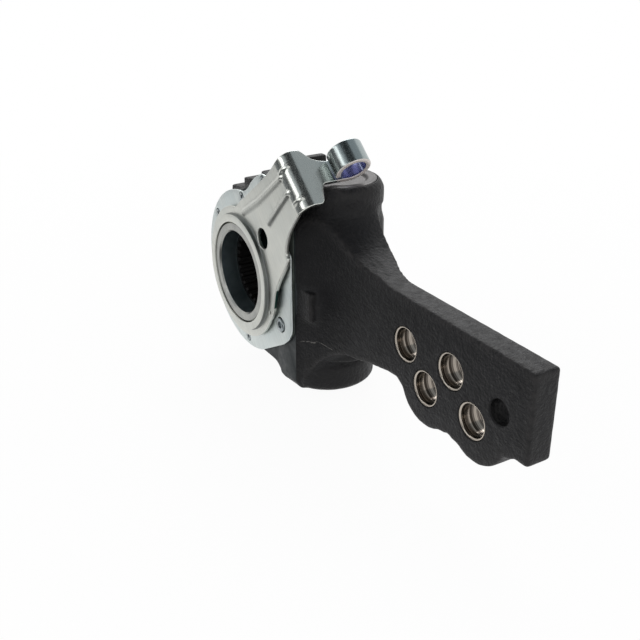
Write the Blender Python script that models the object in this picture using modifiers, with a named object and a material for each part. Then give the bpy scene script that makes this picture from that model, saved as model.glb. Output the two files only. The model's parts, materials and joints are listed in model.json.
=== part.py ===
"""Automatic brake slack adjuster with a five-hole lever and a folded control arm.

Frame: the origin is the centre of the splined bore, +Y runs along the bore towards the back,
+X points along the lever and +Z is up, along the worm shaft. Lengths are in metres.
"""
import math

import bmesh
import bpy
from mathutils import Matrix, Vector

MM = 0.001

# Facets around a turn
FINE = 52
MEDIUM = 36
COARSE = 24
SMALL = 12

# Fits
SEAT = 0.30 * MM                    # gap between pieces that touch
REACH = 1.0 * MM                    # how far a cutter runs past the face that it cuts

# Centre distance of worm and wheel
WHEEL_PITCH_RADIUS = 34.0 * MM
WORM_PITCH_RADIUS = 14.5 * MM
TOOTH_RISE = 1.8 * MM               # above the pitch line
TOOTH_FALL = 2.3 * MM               # below the pitch line
WORM_X = WHEEL_PITCH_RADIUS + WORM_PITCH_RADIUS

# Hub of the casting
WHEEL_CLEARANCE = 0.5 * MM
HUB_WALL = 6.5 * MM
FOOT_RISE = 1.4 * MM                # of the block's underside above the hub's
CAVITY_RADIUS = WHEEL_PITCH_RADIUS + TOOTH_RISE + WHEEL_CLEARANCE
HUB_RADIUS = CAVITY_RADIUS + HUB_WALL
FOOT_LEVEL = FOOT_RISE - HUB_RADIUS  # underside of the block in front of the lower boss
HUB_FRONT = -26.0 * MM              # machined front face
HUB_BACK = 26.5 * MM
BACK_WALL = 8.5 * MM
BLOCK_RUN = 0.7 * MM                # of the block past the worm's axis
BLOCK_RIGHT = WORM_X + BLOCK_RUN
BLOCK_TOP = 58.2 * MM
BLOCK_BACK = 9.0 * MM

# Worm barrel, upright behind the block
BARREL_RADIUS = 21.3 * MM
NECK_RADIUS = 19.3 * MM
COLLAR_RADIUS = 20.9 * MM
BARREL_TOP = 59.2 * MM
WORM_BORE_RADIUS = 16.7 * MM
BORE_FLOOR = -23.0 * MM
SHAFT_BORE_RADIUS = 10.8 * MM
BOSS_RADIUS = 24.6 * MM             # lower boss, cast off centre towards the hub
BOSS_SHIFT = 9.2 * MM
BOSS_X = WORM_X - BOSS_SHIFT
BOSS_Y = -1.9 * MM
BOSS_BOTTOM = -47.4 * MM

REAR_SEAL_Y = 22.5 * MM
REAR_SEAL_DEPTH = 3.4 * MM          # of its square groove, beyond the journal
PAD_RIGHT = 61.7 * MM               # raised pad on the web
PAD_LOW = -7.0 * MM
PAD_HIGH = 8.6 * MM
PAD_SET_BACK = 0.7 * MM             # behind the machined front face
RIB_WIDTH = 4.5 * MM                # three cooling ribs: left side, top and back end of each
COOLING_RIBS = ((-15.6 * MM, 42.3 * MM, 20.0 * MM), (-1.6 * MM, 50.0 * MM, 13.0 * MM),
                (17.4 * MM, 61.0 * MM, 8.4 * MM))

# Lever
LEVER_FRONT = -15.5 * MM
LEVER_THICKNESS = 12.5 * MM
LEVER_END = 202.7 * MM
LEVER_TOP = 29.2 * MM
LEVER_HEEL = -11.0 * MM             # underside of the square end
LOBE_RADIUS = 18.0 * MM
WEB_END = 85.0 * MM                 # where the concave web runs out into the lever
WEB_REACH = 117.5 * MM              # how far the web's own solid overlaps the lever
FLARE_EDGE = 80.0 * MM
UNDERCUT_CENTRE = (88.0 * MM, -55.0 * MM)
UNDERCUT_RADIUS = 37.2 * MM
FLARE = ((18.5, 50.5), (18.9, 49.5), (22.0, 45.5), (26.0, 41.3), (30.0, 37.8), (36.0, 34.4),
         (45.0, 31.9), (58.0, 29.9), (68.0, 28.7))      # radius from the worm's axis and height, mm
WEB_BACK = ((108.0, -3.0), (101.0, -1.4), (94.0, 1.6), (88.0, 3.6), (82.0, 5.3), (76.0, 6.5),
            (70.0, 8.0), (62.0, 10.0))                  # plan of the web's back face, mm
EDGE_ROUND = 1.2 * MM
BUSHED_HOLES = ((125.0 * MM, 7.3 * MM), (140.0 * MM, -7.0 * MM),
                (155.6 * MM, 8.5 * MM), (170.4 * MM, -7.0 * MM))
PLAIN_HOLE = (185.4 * MM, 4.9 * MM)
PLAIN_HOLE_RADIUS = 5.4 * MM
BUSH_RADIUS = 8.0 * MM
BUSH_BORE = 7.05 * MM
BUSH_LEAD = 0.35 * MM               # lead-in at each end of a bush
BUSH_SINK = 0.3 * MM                # how far the bushes lie below the lever's faces

# Worm and wheel
WHEEL_TEETH = 24
WHEEL_HALF_WIDTH = 8.0 * MM
TOOTH_SHARE = 0.40                  # tooth width as a share of the pitch, at the pitch line
FLANK_SLOPE = math.tan(math.radians(20.0))
JOURNAL_DROP = 7.5 * MM             # of the journal below the wheel's pitch line
HUB_JOURNAL_RADIUS = WHEEL_PITCH_RADIUS - JOURNAL_DROP
RACK_CLEARANCE = 0.7 * MM           # between the wheel's shoulder and the rack
JOURNAL_FRONT = -32.7 * MM
JOURNAL_BACK = 27.1 * MM
SPLINE_COUNT = 28
JOURNAL_WALL = 7.6 * MM             # over the spline's teeth
SPLINE_MINOR = HUB_JOURNAL_RADIUS - JOURNAL_WALL
SPLINE_DEPTH = 1.5 * MM
BORE_ENTRY_STEP = 1.8 * MM          # beyond the spline's roots
BORE_ENTRY_DEPTH = 10.0 * MM
THREAD_HALF_LENGTH = 19.0 * MM
SHAFT_RADIUS = 7.0 * MM
CLUTCH_HUB_RADIUS = 9.5 * MM
CLUTCH_HUB_TOP = 26.0 * MM
NOSE_RADIUS = 4.8 * MM
NOSE_TOP = 37.0 * MM
HEX_FLATS = 12.0 * MM
HEX_LENGTH = 5.0 * MM

# Control arm, drawn along +X and then swung up to ARM_ANGLE
ARM_ANGLE = math.radians(49.0)
SHEET = 2.3 * MM
FAN_FRONT = -31.1 * MM
RING_RISE = 2.25 * MM               # of the ring above the fan
RING_BACK = -28.5 * MM
RING_CLEARANCE = 0.7 * MM           # round the hub
RING_LAND = 0.4 * MM                # of the ring's back, beyond the sleeve
RING_STEP = 0.8 * MM                # of the ring's raised edge, beyond the sleeve
RING_FLANGE = 4.0 * MM              # of the flat edge, beyond the raised one
FAN_HOLE = (37.0 * MM, -1.9 * MM)
FAN_HOLE_RADIUS = 5.3 * MM
SIGHT_MARGIN = 0.9 * MM             # of the cover's notch behind the fan hole
DIMPLE = (12.4 * MM, -31.3 * MM)
DIMPLE_RADIUS = 0.8 * MM
RIB_RADIUS = 1.6 * MM                # pressed ribs
RIB_RISE = 1.0 * MM
BEND_START = 80.0 * MM
BEND_RADIUS = 3.82 * MM             # of the middle of the sheet
EYE_Y = -2.2 * MM
EYE_RADIUS = 7.05 * MM              # of the middle of the sheet
EYE_WRAP = math.radians(308.0)
STRAP_HIGH = 7.1 * MM                # the strap's and eye's edges across the arm
STRAP_LOW = -4.2 * MM

# Control disc, rack and pinion
SEAL_GROOVE_DEPTH = 2.6 * MM         # of the square groove for the front seal
SEAL_GROOVE_Y = -24.6 * MM
SLEEVE_WALL = 1.1 * MM
SLEEVE_RUN = 0.7 * MM                # of the sleeve behind the disc
DISC_FRONT = -26.2 * MM
DISC_THICKNESS = 3.0 * MM
PEG_RADIUS = 2.0 * MM
PEG_X = 9.6 * MM
RACK_DROP = 0.5 * MM                # of the rack below the wheel's pitch line
RACK_Z = WHEEL_PITCH_RADIUS - RACK_DROP
RACK_HEIGHT = 6.0 * MM
RACK_BACKING = -13.5 * MM           # front face of the rack bar
PINION_TEETH = 16
PINION_PITCH_RADIUS = 8.0 * MM
PINION_RISE = 0.8 * MM
PINION_FALL = 1.3 * MM
RACK_LEFT = 5.9 * MM
RACK_RUN = 13.0 * MM                # of the rack past the worm's axis
RACK_RIGHT = WORM_X + RACK_RUN
RACK_TRAVEL = 10.8 * MM

# Front cover, gasket and screws
COVER_THICKNESS = 1.0 * MM
GASKET_THICKNESS = 0.4 * MM
COVER_INSET = 0.4 * MM               # of the cover's edge inside the hub's and the block's
RIM_SCREWS = ((143.98, 2.64 * MM), (92.99, 3.96 * MM), (270.0, 2.5 * MM))    # angle, rise from cavity
BLOCK_SCREWS = ((26.8 * MM, 3.4 * MM), (4.7 * MM, 5.7 * MM))       # back from worm, below top
LOCK_SCREW = (37.1 * MM, -16.5 * MM)
SCREW_RADIUS = 1.5 * MM
SCREW_HEAD = 2.2 * MM
SCREW_LENGTH = 8.0 * MM
LOCK_RADIUS = 2.0 * MM
LOCK_HEAD = 3.6 * MM

# Spring end of the worm
COVER_CAP_RADIUS = 17.4 * MM
CAP_DISH_RADIUS = 12.9 * MM
CAP_DISH_DEPTH = 1.5 * MM
LOWER_BUSH_LENGTH = 9.1 * MM
SHAFT_SEAL_LENGTH = 3.7 * MM
COVER_CAP_THICKNESS = 5.2 * MM
WASHER_THICKNESS = 2.0 * MM
SPRING_WIRE = 1.3 * MM
SPRING_RADIUS = 12.0 * MM

# Sizes that follow from those above
SPLINE_MAJOR = SPLINE_MINOR + SPLINE_DEPTH
BORE_ENTRY_RADIUS = SPLINE_MAJOR + BORE_ENTRY_STEP
REAR_SEAL_RADIUS = HUB_JOURNAL_RADIUS + REAR_SEAL_DEPTH
SEAL_GROOVE_RADIUS = HUB_JOURNAL_RADIUS + SEAL_GROOVE_DEPTH
SLEEVE_RADIUS = SEAL_GROOVE_RADIUS + SLEEVE_WALL
SHOULDER_RADIUS = RACK_Z - RACK_HEIGHT / 2 - RACK_CLEARANCE
RING_FRONT = FAN_FRONT - RING_RISE
RING_BORE = HUB_JOURNAL_RADIUS + RING_CLEARANCE
RING_STEP_RADIUS = SLEEVE_RADIUS + RING_STEP
RING_EDGE_RADIUS = RING_STEP_RADIUS + RING_FLANGE
DISC_RADIUS = CAVITY_RADIUS - SEAT
COVER_RADIUS = HUB_RADIUS - COVER_INSET
COVER_TOP = BLOCK_TOP - COVER_INSET
COVER_OPENING = RING_STEP_RADIUS
SMALL_SCREWS = [((CAVITY_RADIUS + rise) * math.cos(math.radians(angle)),
                 (CAVITY_RADIUS + rise) * math.sin(math.radians(angle))) for angle, rise in RIM_SCREWS]
SMALL_SCREWS += [(WORM_X - back, BLOCK_TOP - drop) for back, drop in BLOCK_SCREWS]


def fresh_scene():
    """Empty the scene and make the two collections."""
    for old in list(bpy.data.objects):
        bpy.data.objects.remove(old, do_unlink=True)
    made = []
    for title in ("brake_slack_adjuster", "cutters"):
        folder = bpy.data.collections.new(title)
        bpy.context.scene.collection.children.link(folder)
        made.append(folder)
    return made


PARTS, CUTTERS = fresh_scene()


def finish(name, colour, roughness, metallic):
    """A Principled material."""
    material = bpy.data.materials.new(name)
    material.use_nodes = True
    shader = material.node_tree.nodes["Principled BSDF"]
    shader.inputs["Base Color"].default_value = (*colour, 1.0)
    shader.inputs["Roughness"].default_value = roughness
    shader.inputs["Metallic"].default_value = metallic
    return material


BLACK_PAINT = finish("black_paint", (0.030, 0.030, 0.032), 0.55, 0.1)
ZINC = finish("zinc_plate", (0.70, 0.72, 0.71), 0.35, 0.9)
STEEL = finish("bright_steel", (0.55, 0.53, 0.50), 0.25, 1.0)
DARK_STEEL = finish("dark_steel", (0.12, 0.13, 0.15), 0.35, 0.9)
RUBBER = finish("seal_rubber", (0.02, 0.02, 0.02), 0.8, 0.0)
BRONZE = finish("bearing_bronze", (0.45, 0.30, 0.14), 0.4, 0.9)
FIBRE = finish("gasket_fibre", (0.05, 0.07, 0.06), 0.9, 0.0)


def place(name, mesh, material, folder=None):
    """Put a mesh in the scene as one object."""
    thing = bpy.data.objects.new(name, mesh)
    (folder or PARTS).objects.link(thing)
    if material:
        mesh.materials.clear()
        mesh.materials.append(material)
    return thing


def settle(thing, smooth=35.0):
    """Turn an object with modifiers, or a curve, into one closed mesh object."""
    bpy.context.view_layer.update()
    graph = bpy.context.evaluated_depsgraph_get()
    mesh = bpy.data.meshes.new_from_object(thing.evaluated_get(graph), depsgraph=graph)
    mesh.transform(thing.matrix_world)
    work = bmesh.new()
    work.from_mesh(mesh)
    bmesh.ops.remove_doubles(work, verts=work.verts, dist=0.0005 * MM)
    bmesh.ops.dissolve_limit(work, angle_limit=math.radians(0.2), verts=work.verts, edges=work.edges)
    bmesh.ops.recalc_face_normals(work, faces=work.faces)
    work.to_mesh(mesh)
    work.free()
    mesh.shade_smooth()
    mesh.set_sharp_from_angle(angle=math.radians(smooth))
    name = thing.name
    folder = thing.users_collection[0]
    material = thing.active_material
    bpy.data.objects.remove(thing, do_unlink=True)
    return place(name, mesh, material, folder)


def recentre(thing, point):
    """Put an object's origin on its joint's axis without moving it."""
    thing.data.transform(Matrix.Translation([-value for value in point]))
    thing.location = point


def arc(centre, radius, start, stop, count):
    """Points on an arc, angles in degrees, both ends included."""
    points = []
    for step in range(count + 1):
        angle = math.radians(start + (stop - start) * step / count)
        points.append((centre[0] + radius * math.cos(angle), centre[1] + radius * math.sin(angle)))
    return points


def circle(centre, radius, count):
    """Points around a circle, the last one left out."""
    return arc(centre, radius, 0.0, 360.0 * (count - 1) / count, count - 1)


def plate(name, loops, low, high, material=None, along="Y"):
    """A flat outline with holes, given thickness along Y (drawn in XZ) or along Z (drawn in XY)."""
    curve = bpy.data.curves.new(name, "CURVE")
    curve.dimensions = "2D"
    curve.fill_mode = "BOTH"
    curve.extrude = (high - low) / 2
    for loop in loops:
        spline = curve.splines.new("POLY")
        spline.points.add(len(loop) - 1)
        spline.use_cyclic_u = True
        for point, (a, b) in zip(spline.points, loop):
            point.co = (a, b, 0.0, 1.0)
    thing = bpy.data.objects.new(name, curve)
    PARTS.objects.link(thing)
    if material:
        curve.materials.append(material)
    middle = (high + low) / 2
    if along == "Y":
        thing.matrix_world = Matrix.Translation((0, middle, 0)) @ Matrix.Rotation(math.pi / 2, 4, "X")
    else:
        thing.matrix_world = Matrix.Translation((0, 0, middle))
    return settle(thing)


def turned(name, profile, axis, centre, steps, material=None):
    """A profile of (radius, height) points turned about an axis through centre."""
    mesh = bpy.data.meshes.new(name)
    points = [(radius, 0.0, height) for radius, height in profile]
    closed = min(radius for radius, height in profile) > 0.01 * MM
    edges = [(i, i + 1) for i in range(len(points) - 1)]
    if closed:
        edges.append((len(points) - 1, 0))
    mesh.from_pydata(points, edges, [])
    thing = place(name, mesh, material)
    screw = thing.modifiers.new("turn", "SCREW")
    screw.axis = "Z"
    screw.steps = steps
    screw.render_steps = steps
    screw.use_merge_vertices = True
    screw.merge_threshold = 0.001 * MM
    if axis == "Y":
        thing.matrix_world = Matrix.Translation(centre) @ Matrix.Rotation(-math.pi / 2, 4, "X")
    else:
        thing.matrix_world = Matrix.Translation(centre)
    return settle(thing)


def rod(name, radius, low, high, axis, centre, steps, material=None):
    """A plain cylinder between two levels along its axis."""
    mesh = bpy.data.meshes.new(name)
    lift = Matrix.Translation((0, 0, (low + high) / 2))
    turn = Matrix.Rotation(-math.pi / 2, 4, "X") if axis == "Y" else Matrix.Identity(4)
    work = bmesh.new()
    bmesh.ops.create_cone(work, cap_ends=True, segments=steps, radius1=radius, radius2=radius,
                          depth=high - low, matrix=Matrix.Translation(centre) @ turn @ lift)
    work.to_mesh(mesh)
    work.free()
    return place(name, mesh, material)


def barrel_rod(name, radius, low, high, axis, centre, steps, chamfer, material=None):
    """A cylinder with both rims chamfered."""
    profile = [(0.0, high), (radius - chamfer, high), (radius, high - chamfer),
               (radius, low + chamfer), (radius - chamfer, low), (0.0, low)]
    return turned(name, profile, axis, centre, steps, material)


def sleeve(name, inner, outer, low, high, axis, centre, steps, material=None):
    """A plain ring between two levels along its axis."""
    profile = [(inner, high), (outer, high), (outer, low), (inner, low)]
    return turned(name, profile, axis, centre, steps, material)


def box(name, low, high):
    """A box between two corners."""
    mesh = bpy.data.meshes.new(name)
    work = bmesh.new()
    size = [high[i] - low[i] for i in range(3)]
    middle = [(high[i] + low[i]) / 2 for i in range(3)]
    bmesh.ops.create_cube(work, size=1.0, matrix=Matrix.Translation(middle) @ Matrix.Diagonal((*size, 1.0)))
    work.to_mesh(mesh)
    work.free()
    return place(name, mesh, None)


def rounded(thing, width, segments=2, angle=40.0):
    """Round the sharp edges of a solid, coplanar triangles dissolved first."""
    work = bmesh.new()
    work.from_mesh(thing.data)
    bmesh.ops.dissolve_limit(work, angle_limit=math.radians(1.0), verts=work.verts, edges=work.edges)
    work.to_mesh(thing.data)
    work.free()
    bevel = thing.modifiers.new("round", "BEVEL")
    bevel.width = width
    bevel.segments = segments
    bevel.limit_method = "ANGLE"
    bevel.angle_limit = math.radians(angle)
    return settle(thing)


def combine(target, others, operation):
    """Boolean the others into the target, one modifier each; the others become hidden guides."""
    for number, other in enumerate(others):
        for folder in list(other.users_collection):
            folder.objects.unlink(other)
        CUTTERS.objects.link(other)
        other.hide_render = True
        other.display_type = "WIRE"
        step = target.modifiers.new(f"{operation.lower()}_{number}", "BOOLEAN")
        step.operation = operation
        step.object = other
        step.solver = "EXACT"
    return target


def block_outline():
    """The front block beside the hub, closed through the hub, in XZ."""
    foot = BOSS_BOTTOM + 0.2 * MM
    return [(0.0, FOOT_LEVEL), (WORM_X - 18.0 * MM, FOOT_LEVEL), (WORM_X - 14.9 * MM, FOOT_LEVEL - 1.6 * MM),
            (WORM_X - 13.3 * MM, foot),
            (BLOCK_RIGHT, foot), (BLOCK_RIGHT, BLOCK_TOP - 2.0 * MM),
            (BLOCK_RIGHT - 2.0 * MM, BLOCK_TOP), (19.0 * MM, BLOCK_TOP), (15.0 * MM, 55.6 * MM),
            (3.0 * MM, 46.2 * MM), (-6.0 * MM, 41.8 * MM), (-6.0 * MM, 0.0)]


def web_plan():
    """Plan of the web and the lever's root: a concave front and the measured back face, in XY."""
    run = WEB_END - BLOCK_RIGHT
    depth = LEVER_FRONT - HUB_FRONT
    half_turn = math.atan2(depth, run)
    radius = math.hypot(run, depth) / (2 * math.sin(half_turn))
    front = arc((WEB_END, LEVER_FRONT - radius), radius, 91.0 + math.degrees(2 * half_turn), 90.0, 12)
    inner = WORM_X - 20.0 * MM
    back = [(x * MM, y * MM) for x, y in WEB_BACK]
    return [(inner, HUB_FRONT + REACH)] + front + [(WEB_REACH, LEVER_FRONT + REACH),
                                                   (WEB_REACH, back[0][1] - REACH)] + back + [
        (inner, back[-1][1])]


def web_side():
    """Side outline that keeps the web above its hollow underside, in XZ."""
    under = arc(UNDERCUT_CENTRE, UNDERCUT_RADIUS, 168.2, 93.0, 12)
    left = WORM_X - 22.0 * MM
    heel = [(102.0 * MM, -13.6 * MM), (WEB_REACH + REACH, -10.5 * MM)]
    return [(left, under[0][1])] + under + heel + [(WEB_REACH + REACH, BARREL_TOP), (left, BARREL_TOP)]


def lever_outline():
    """Side outline of the lever with its two lobes and square end, in XZ."""
    first = (BUSHED_HOLES[1][0], BUSHED_HOLES[1][1] - 0.3 * MM)
    second = (BUSHED_HOLES[3][0] + 1.6 * MM, BUSHED_HOLES[3][1] - 0.3 * MM)
    root = 58.0 * MM
    outline = [(root, -15.9 * MM), (86.0 * MM, -16.7 * MM), (101.0 * MM, -14.3 * MM),
               (112.0 * MM, -12.2 * MM), (119.0 * MM, -11.6 * MM)]
    outline += arc(first, LOBE_RADIUS, 203.0, 302.0, 12)
    middle = (first[0] + second[0]) / 2
    outline += arc((middle, first[1] - LOBE_RADIUS + 0.5 * MM), 3.6 * MM, 130.0, 50.0, 4)
    outline += arc(second, LOBE_RADIUS, 238.0, 338.0, 12)
    outline += [(LEVER_END - 9.5 * MM, LEVER_HEEL - 1.4 * MM), (LEVER_END - 7.5 * MM, LEVER_HEEL),
                (LEVER_END, LEVER_HEEL), (LEVER_END, LEVER_TOP), (root, LEVER_TOP)]
    return outline


def build_housing():
    """The one casting: hub, block, worm barrel, lower boss, web and lever."""
    rough_front = HUB_FRONT - 2.0 * MM
    hub = barrel_rod("housing", HUB_RADIUS, rough_front, HUB_BACK, "Y", (0, 0, 0), FINE, 1.5 * MM,
                     BLACK_PAINT)
    block = rounded(plate("block", [block_outline()], rough_front, BLOCK_BACK), 1.5 * MM)
    rim = COVER_CAP_RADIUS + 0.8 * MM
    barrel_profile = [(0.0, BARREL_TOP), (rim, BARREL_TOP), (rim + 1.6 * MM, BARREL_TOP - 1.8 * MM),
                      (COLLAR_RADIUS, BARREL_TOP - 4.4 * MM), (COLLAR_RADIUS, BARREL_TOP - 11.2 * MM),
                      (NECK_RADIUS, BARREL_TOP - 13.4 * MM), (NECK_RADIUS, BARREL_TOP - 14.8 * MM),
                      (BARREL_RADIUS - 0.9 * MM, BARREL_TOP - 17.2 * MM),
                      (BARREL_RADIUS, BARREL_TOP - 20.8 * MM), (BARREL_RADIUS, -30.0 * MM), (0.0, -30.0 * MM)]
    barrel = turned("barrel", barrel_profile, "Z", (WORM_X, 0, 0), MEDIUM)
    boss_profile = [(0.0, -12.0 * MM), (17.0 * MM, -22.0 * MM), (BOSS_RADIUS, -36.0 * MM),
                    (BOSS_RADIUS, BOSS_BOTTOM + 0.8 * MM), (BOSS_RADIUS - 0.8 * MM, BOSS_BOTTOM),
                    (0.0, BOSS_BOTTOM)]
    boss = turned("boss", boss_profile, "Z", (BOSS_X, BOSS_Y, 0), MEDIUM)
    web = plate("web", [web_plan()], -60.0 * MM, 60.0 * MM, along="Z")
    web_limit = plate("web_limit", [web_side()], HUB_FRONT - REACH, HUB_BACK)
    flare_profile = [(0.0, FLARE[0][1] * MM)] + [(r * MM, z * MM) for r, z in FLARE]
    flare_profile += [(FLARE_EDGE, 28.0 * MM), (FLARE_EDGE, -58.0 * MM), (0.0, -58.0 * MM)]
    flare = turned("flare", flare_profile, "Z", (WORM_X, 0, 0), FINE)
    web = settle(combine(web, [web_limit, flare], "INTERSECT"))
    lever = rounded(plate("lever", [lever_outline()], LEVER_FRONT, LEVER_FRONT + LEVER_THICKNESS),
                    EDGE_ROUND)
    pad = rounded(box("pad", (BLOCK_RIGHT - 4.0 * MM, HUB_FRONT + PAD_SET_BACK, PAD_LOW),
                      (PAD_RIGHT, LEVER_FRONT, PAD_HIGH)), 0.8 * MM)
    solids = [block, barrel, boss, web, lever, pad]
    for number, (x, top, end) in enumerate(COOLING_RIBS):
        rib = box(f"rib_{number}", (x, HUB_FRONT + 1.5 * MM, top - 8.0 * MM), (x + RIB_WIDTH, end, top))
        solids.append(rounded(rib, 0.8 * MM))
    combine(hub, solids, "UNION")

    journal = HUB_JOURNAL_RADIUS + SEAT
    seal_low = REAR_SEAL_Y - REAR_SEAL_DEPTH / 2
    seal_high = REAR_SEAL_Y + REAR_SEAL_DEPTH / 2
    wheel_cavity = [(0.0, HUB_FRONT - REACH), (CAVITY_RADIUS, HUB_FRONT - REACH),
                    (CAVITY_RADIUS, HUB_BACK - BACK_WALL), (journal, HUB_BACK - BACK_WALL),
                    (journal, seal_low), (REAR_SEAL_RADIUS, seal_low), (REAR_SEAL_RADIUS, seal_high),
                    (journal, seal_high), (journal, HUB_BACK + REACH), (0.0, HUB_BACK + REACH)]
    cap_seat = BARREL_TOP - COVER_CAP_THICKNESS - SEAT
    cap_bore = COVER_CAP_RADIUS + SEAT
    worm_bore = [(0.0, BARREL_TOP + REACH), (cap_bore, BARREL_TOP + REACH), (cap_bore, cap_seat),
                 (WORM_BORE_RADIUS, cap_seat), (WORM_BORE_RADIUS, BORE_FLOOR),
                 (SHAFT_BORE_RADIUS, BORE_FLOOR), (SHAFT_BORE_RADIUS, BOSS_BOTTOM - REACH),
                 (0.0, BOSS_BOTTOM - REACH)]
    low = RACK_Z - RACK_HEIGHT / 2 - 0.4 * MM
    high = RACK_Z + RACK_HEIGHT / 2 + 0.4 * MM
    back = -PINION_PITCH_RADIUS + PINION_RISE + 0.4 * MM
    cuts = [
        box("front_face", (-60 * MM, HUB_FRONT - 20 * MM, -60 * MM), (80 * MM, HUB_FRONT, 70 * MM)),
        turned("wheel_cavity", wheel_cavity, "Y", (0, 0, 0), FINE),
        turned("worm_bore", worm_bore, "Z", (WORM_X, 0, 0), MEDIUM),
        box("rack_slot", (RACK_LEFT - RACK_TRAVEL - 0.8 * MM, HUB_FRONT - REACH, low),
            (WORM_X - 4.0 * MM, back, high)),
        box("rack_end", (WORM_X - 6.0 * MM, RACK_BACKING - 0.5 * MM, low),
            (RACK_RIGHT + 0.8 * MM, back, high)),
    ]
    for x, z in SMALL_SCREWS:
        cuts.append(rod("tapped", SCREW_RADIUS + SEAT, HUB_FRONT - REACH, HUB_FRONT + SCREW_LENGTH + REACH,
                        "Y", (x, 0, z), SMALL))
    cuts.append(rod("tapped", LOCK_RADIUS + SEAT, HUB_FRONT - REACH, HUB_FRONT + SCREW_LENGTH + REACH,
                    "Y", (LOCK_SCREW[0], 0, LOCK_SCREW[1]), SMALL))
    back = LEVER_FRONT + LEVER_THICKNESS
    for x, z in BUSHED_HOLES:
        cuts.append(rod("bush_hole", BUSH_RADIUS + SEAT, LEVER_FRONT - REACH, back + REACH, "Y", (x, 0, z), COARSE))
    cuts.append(rod("plain_hole", PLAIN_HOLE_RADIUS, LEVER_FRONT - REACH, back + REACH, "Y",
                    (PLAIN_HOLE[0], 0, PLAIN_HOLE[1]), COARSE))
    combine(hub, cuts, "DIFFERENCE")
    return settle(hub, 30.0)


def build_bushes():
    """The four hardened bushes pressed into the lever."""
    low = LEVER_FRONT + BUSH_SINK
    high = LEVER_FRONT + LEVER_THICKNESS - BUSH_SINK
    for number, (x, z) in enumerate(BUSHED_HOLES, 1):
        profile = [(BUSH_RADIUS, high), (BUSH_RADIUS, low), (BUSH_BORE + BUSH_LEAD, low),
                   (BUSH_BORE, low + BUSH_LEAD), (BUSH_BORE, high - BUSH_LEAD), (BUSH_BORE + BUSH_LEAD, high)]
        turned(f"lever_bush_{number}", profile, "Y", (x, 0, z), COARSE, STEEL)


def toothed_outline(teeth, pitch_radius, rise, fall, width, slope, phase=0.0):
    """Outline of a gear: four points a tooth, flanks sloping, angles from the pitch width."""
    points = []
    for tooth in range(teeth):
        middle = 2 * math.pi * tooth / teeth + phase
        for offset, side in ((-fall, -1), (rise, -1), (rise, 1), (-fall, 1)):
            radius = pitch_radius + offset
            half = (width / 2 - offset * slope) / radius
            angle = middle + side * half
            points.append((radius * math.cos(angle), radius * math.sin(angle)))
    return points


WORM_PITCH = 2 * math.pi * WHEEL_PITCH_RADIUS / WHEEL_TEETH
LEAD_SLOPE = WORM_PITCH / (2 * math.pi * WORM_PITCH_RADIUS)


def build_worm_wheel():
    """The splined worm wheel that sits on the camshaft."""
    outline = toothed_outline(WHEEL_TEETH, WHEEL_PITCH_RADIUS, TOOTH_RISE, TOOTH_FALL,
                              WORM_PITCH * TOOTH_SHARE, FLANK_SLOPE)
    rim = plate("worm_wheel", [outline], -WHEEL_HALF_WIDTH, WHEEL_HALF_WIDTH, DARK_STEEL)
    for vertex in rim.data.vertices:
        turn = vertex.co.y * LEAD_SLOPE / WHEEL_PITCH_RADIUS
        vertex.co = Matrix.Rotation(turn, 3, "Y") @ vertex.co
    journal = barrel_rod("journal", HUB_JOURNAL_RADIUS, JOURNAL_FRONT, JOURNAL_BACK, "Y", (0, 0, 0), MEDIUM,
                         0.6 * MM)
    spline = toothed_outline(SPLINE_COUNT, (SPLINE_MINOR + SPLINE_MAJOR) / 2,
                             (SPLINE_MAJOR - SPLINE_MINOR) / 2, (SPLINE_MAJOR - SPLINE_MINOR) / 2,
                             math.pi * (SPLINE_MINOR + SPLINE_MAJOR) / SPLINE_COUNT / 2, 0.3)
    bore = plate("spline_cut", [spline], JOURNAL_FRONT - REACH, JOURNAL_BACK + REACH)
    shoulder = rod("shoulder", SHOULDER_RADIUS, DISC_FRONT + 4.0 * MM, HUB_BACK - BACK_WALL - SEAT, "Y",
                   (0, 0, 0), MEDIUM)
    entries = [rod("entry", BORE_ENTRY_RADIUS, JOURNAL_FRONT - REACH, JOURNAL_FRONT + BORE_ENTRY_DEPTH,
                   "Y", (0, 0, 0), MEDIUM),
               rod("entry", BORE_ENTRY_RADIUS, JOURNAL_BACK - BORE_ENTRY_DEPTH, JOURNAL_BACK + REACH,
                   "Y", (0, 0, 0), MEDIUM)]
    combine(rim, [journal, shoulder], "UNION")
    combine(rim, [bore] + entries, "DIFFERENCE")
    return settle(rim)


def screwed_thread(name, root, rise, width, length, pitch, steps):
    """A helical ridge round Z, made with Screw and capped at both ends."""
    tip_half = width / 2 - rise * FLANK_SLOPE
    base_half = width / 2 + (WORM_PITCH_RADIUS - root) * FLANK_SLOPE
    tip = WORM_PITCH_RADIUS + rise
    inside = root - 1.0 * MM
    section = [(inside, base_half), (root, base_half), (tip, tip_half),
               (tip, -tip_half), (root, -base_half), (inside, -base_half)]
    turns = 2 * math.ceil(length / pitch) + 1       # odd, so a groove faces the wheel at mid height
    mesh = bpy.data.meshes.new(name)
    start = -turns * pitch / 2
    mesh.from_pydata([(-r, 0.0, h + start) for r, h in section],
                     [(i, (i + 1) % len(section)) for i in range(len(section))], [])
    thing = place(name, mesh, None)
    screw = thing.modifiers.new("thread", "SCREW")
    screw.axis = "Z"
    screw.angle = 2 * math.pi * turns
    screw.screw_offset = turns * pitch
    screw.steps = steps * turns
    screw.render_steps = steps * turns
    screw.use_merge_vertices = False
    thing = settle(thing)
    work = bmesh.new()
    work.from_mesh(thing.data)
    bmesh.ops.holes_fill(work, edges=work.edges, sides=0)
    bmesh.ops.recalc_face_normals(work, faces=work.faces)
    work.to_mesh(thing.data)
    work.free()
    return thing


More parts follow.
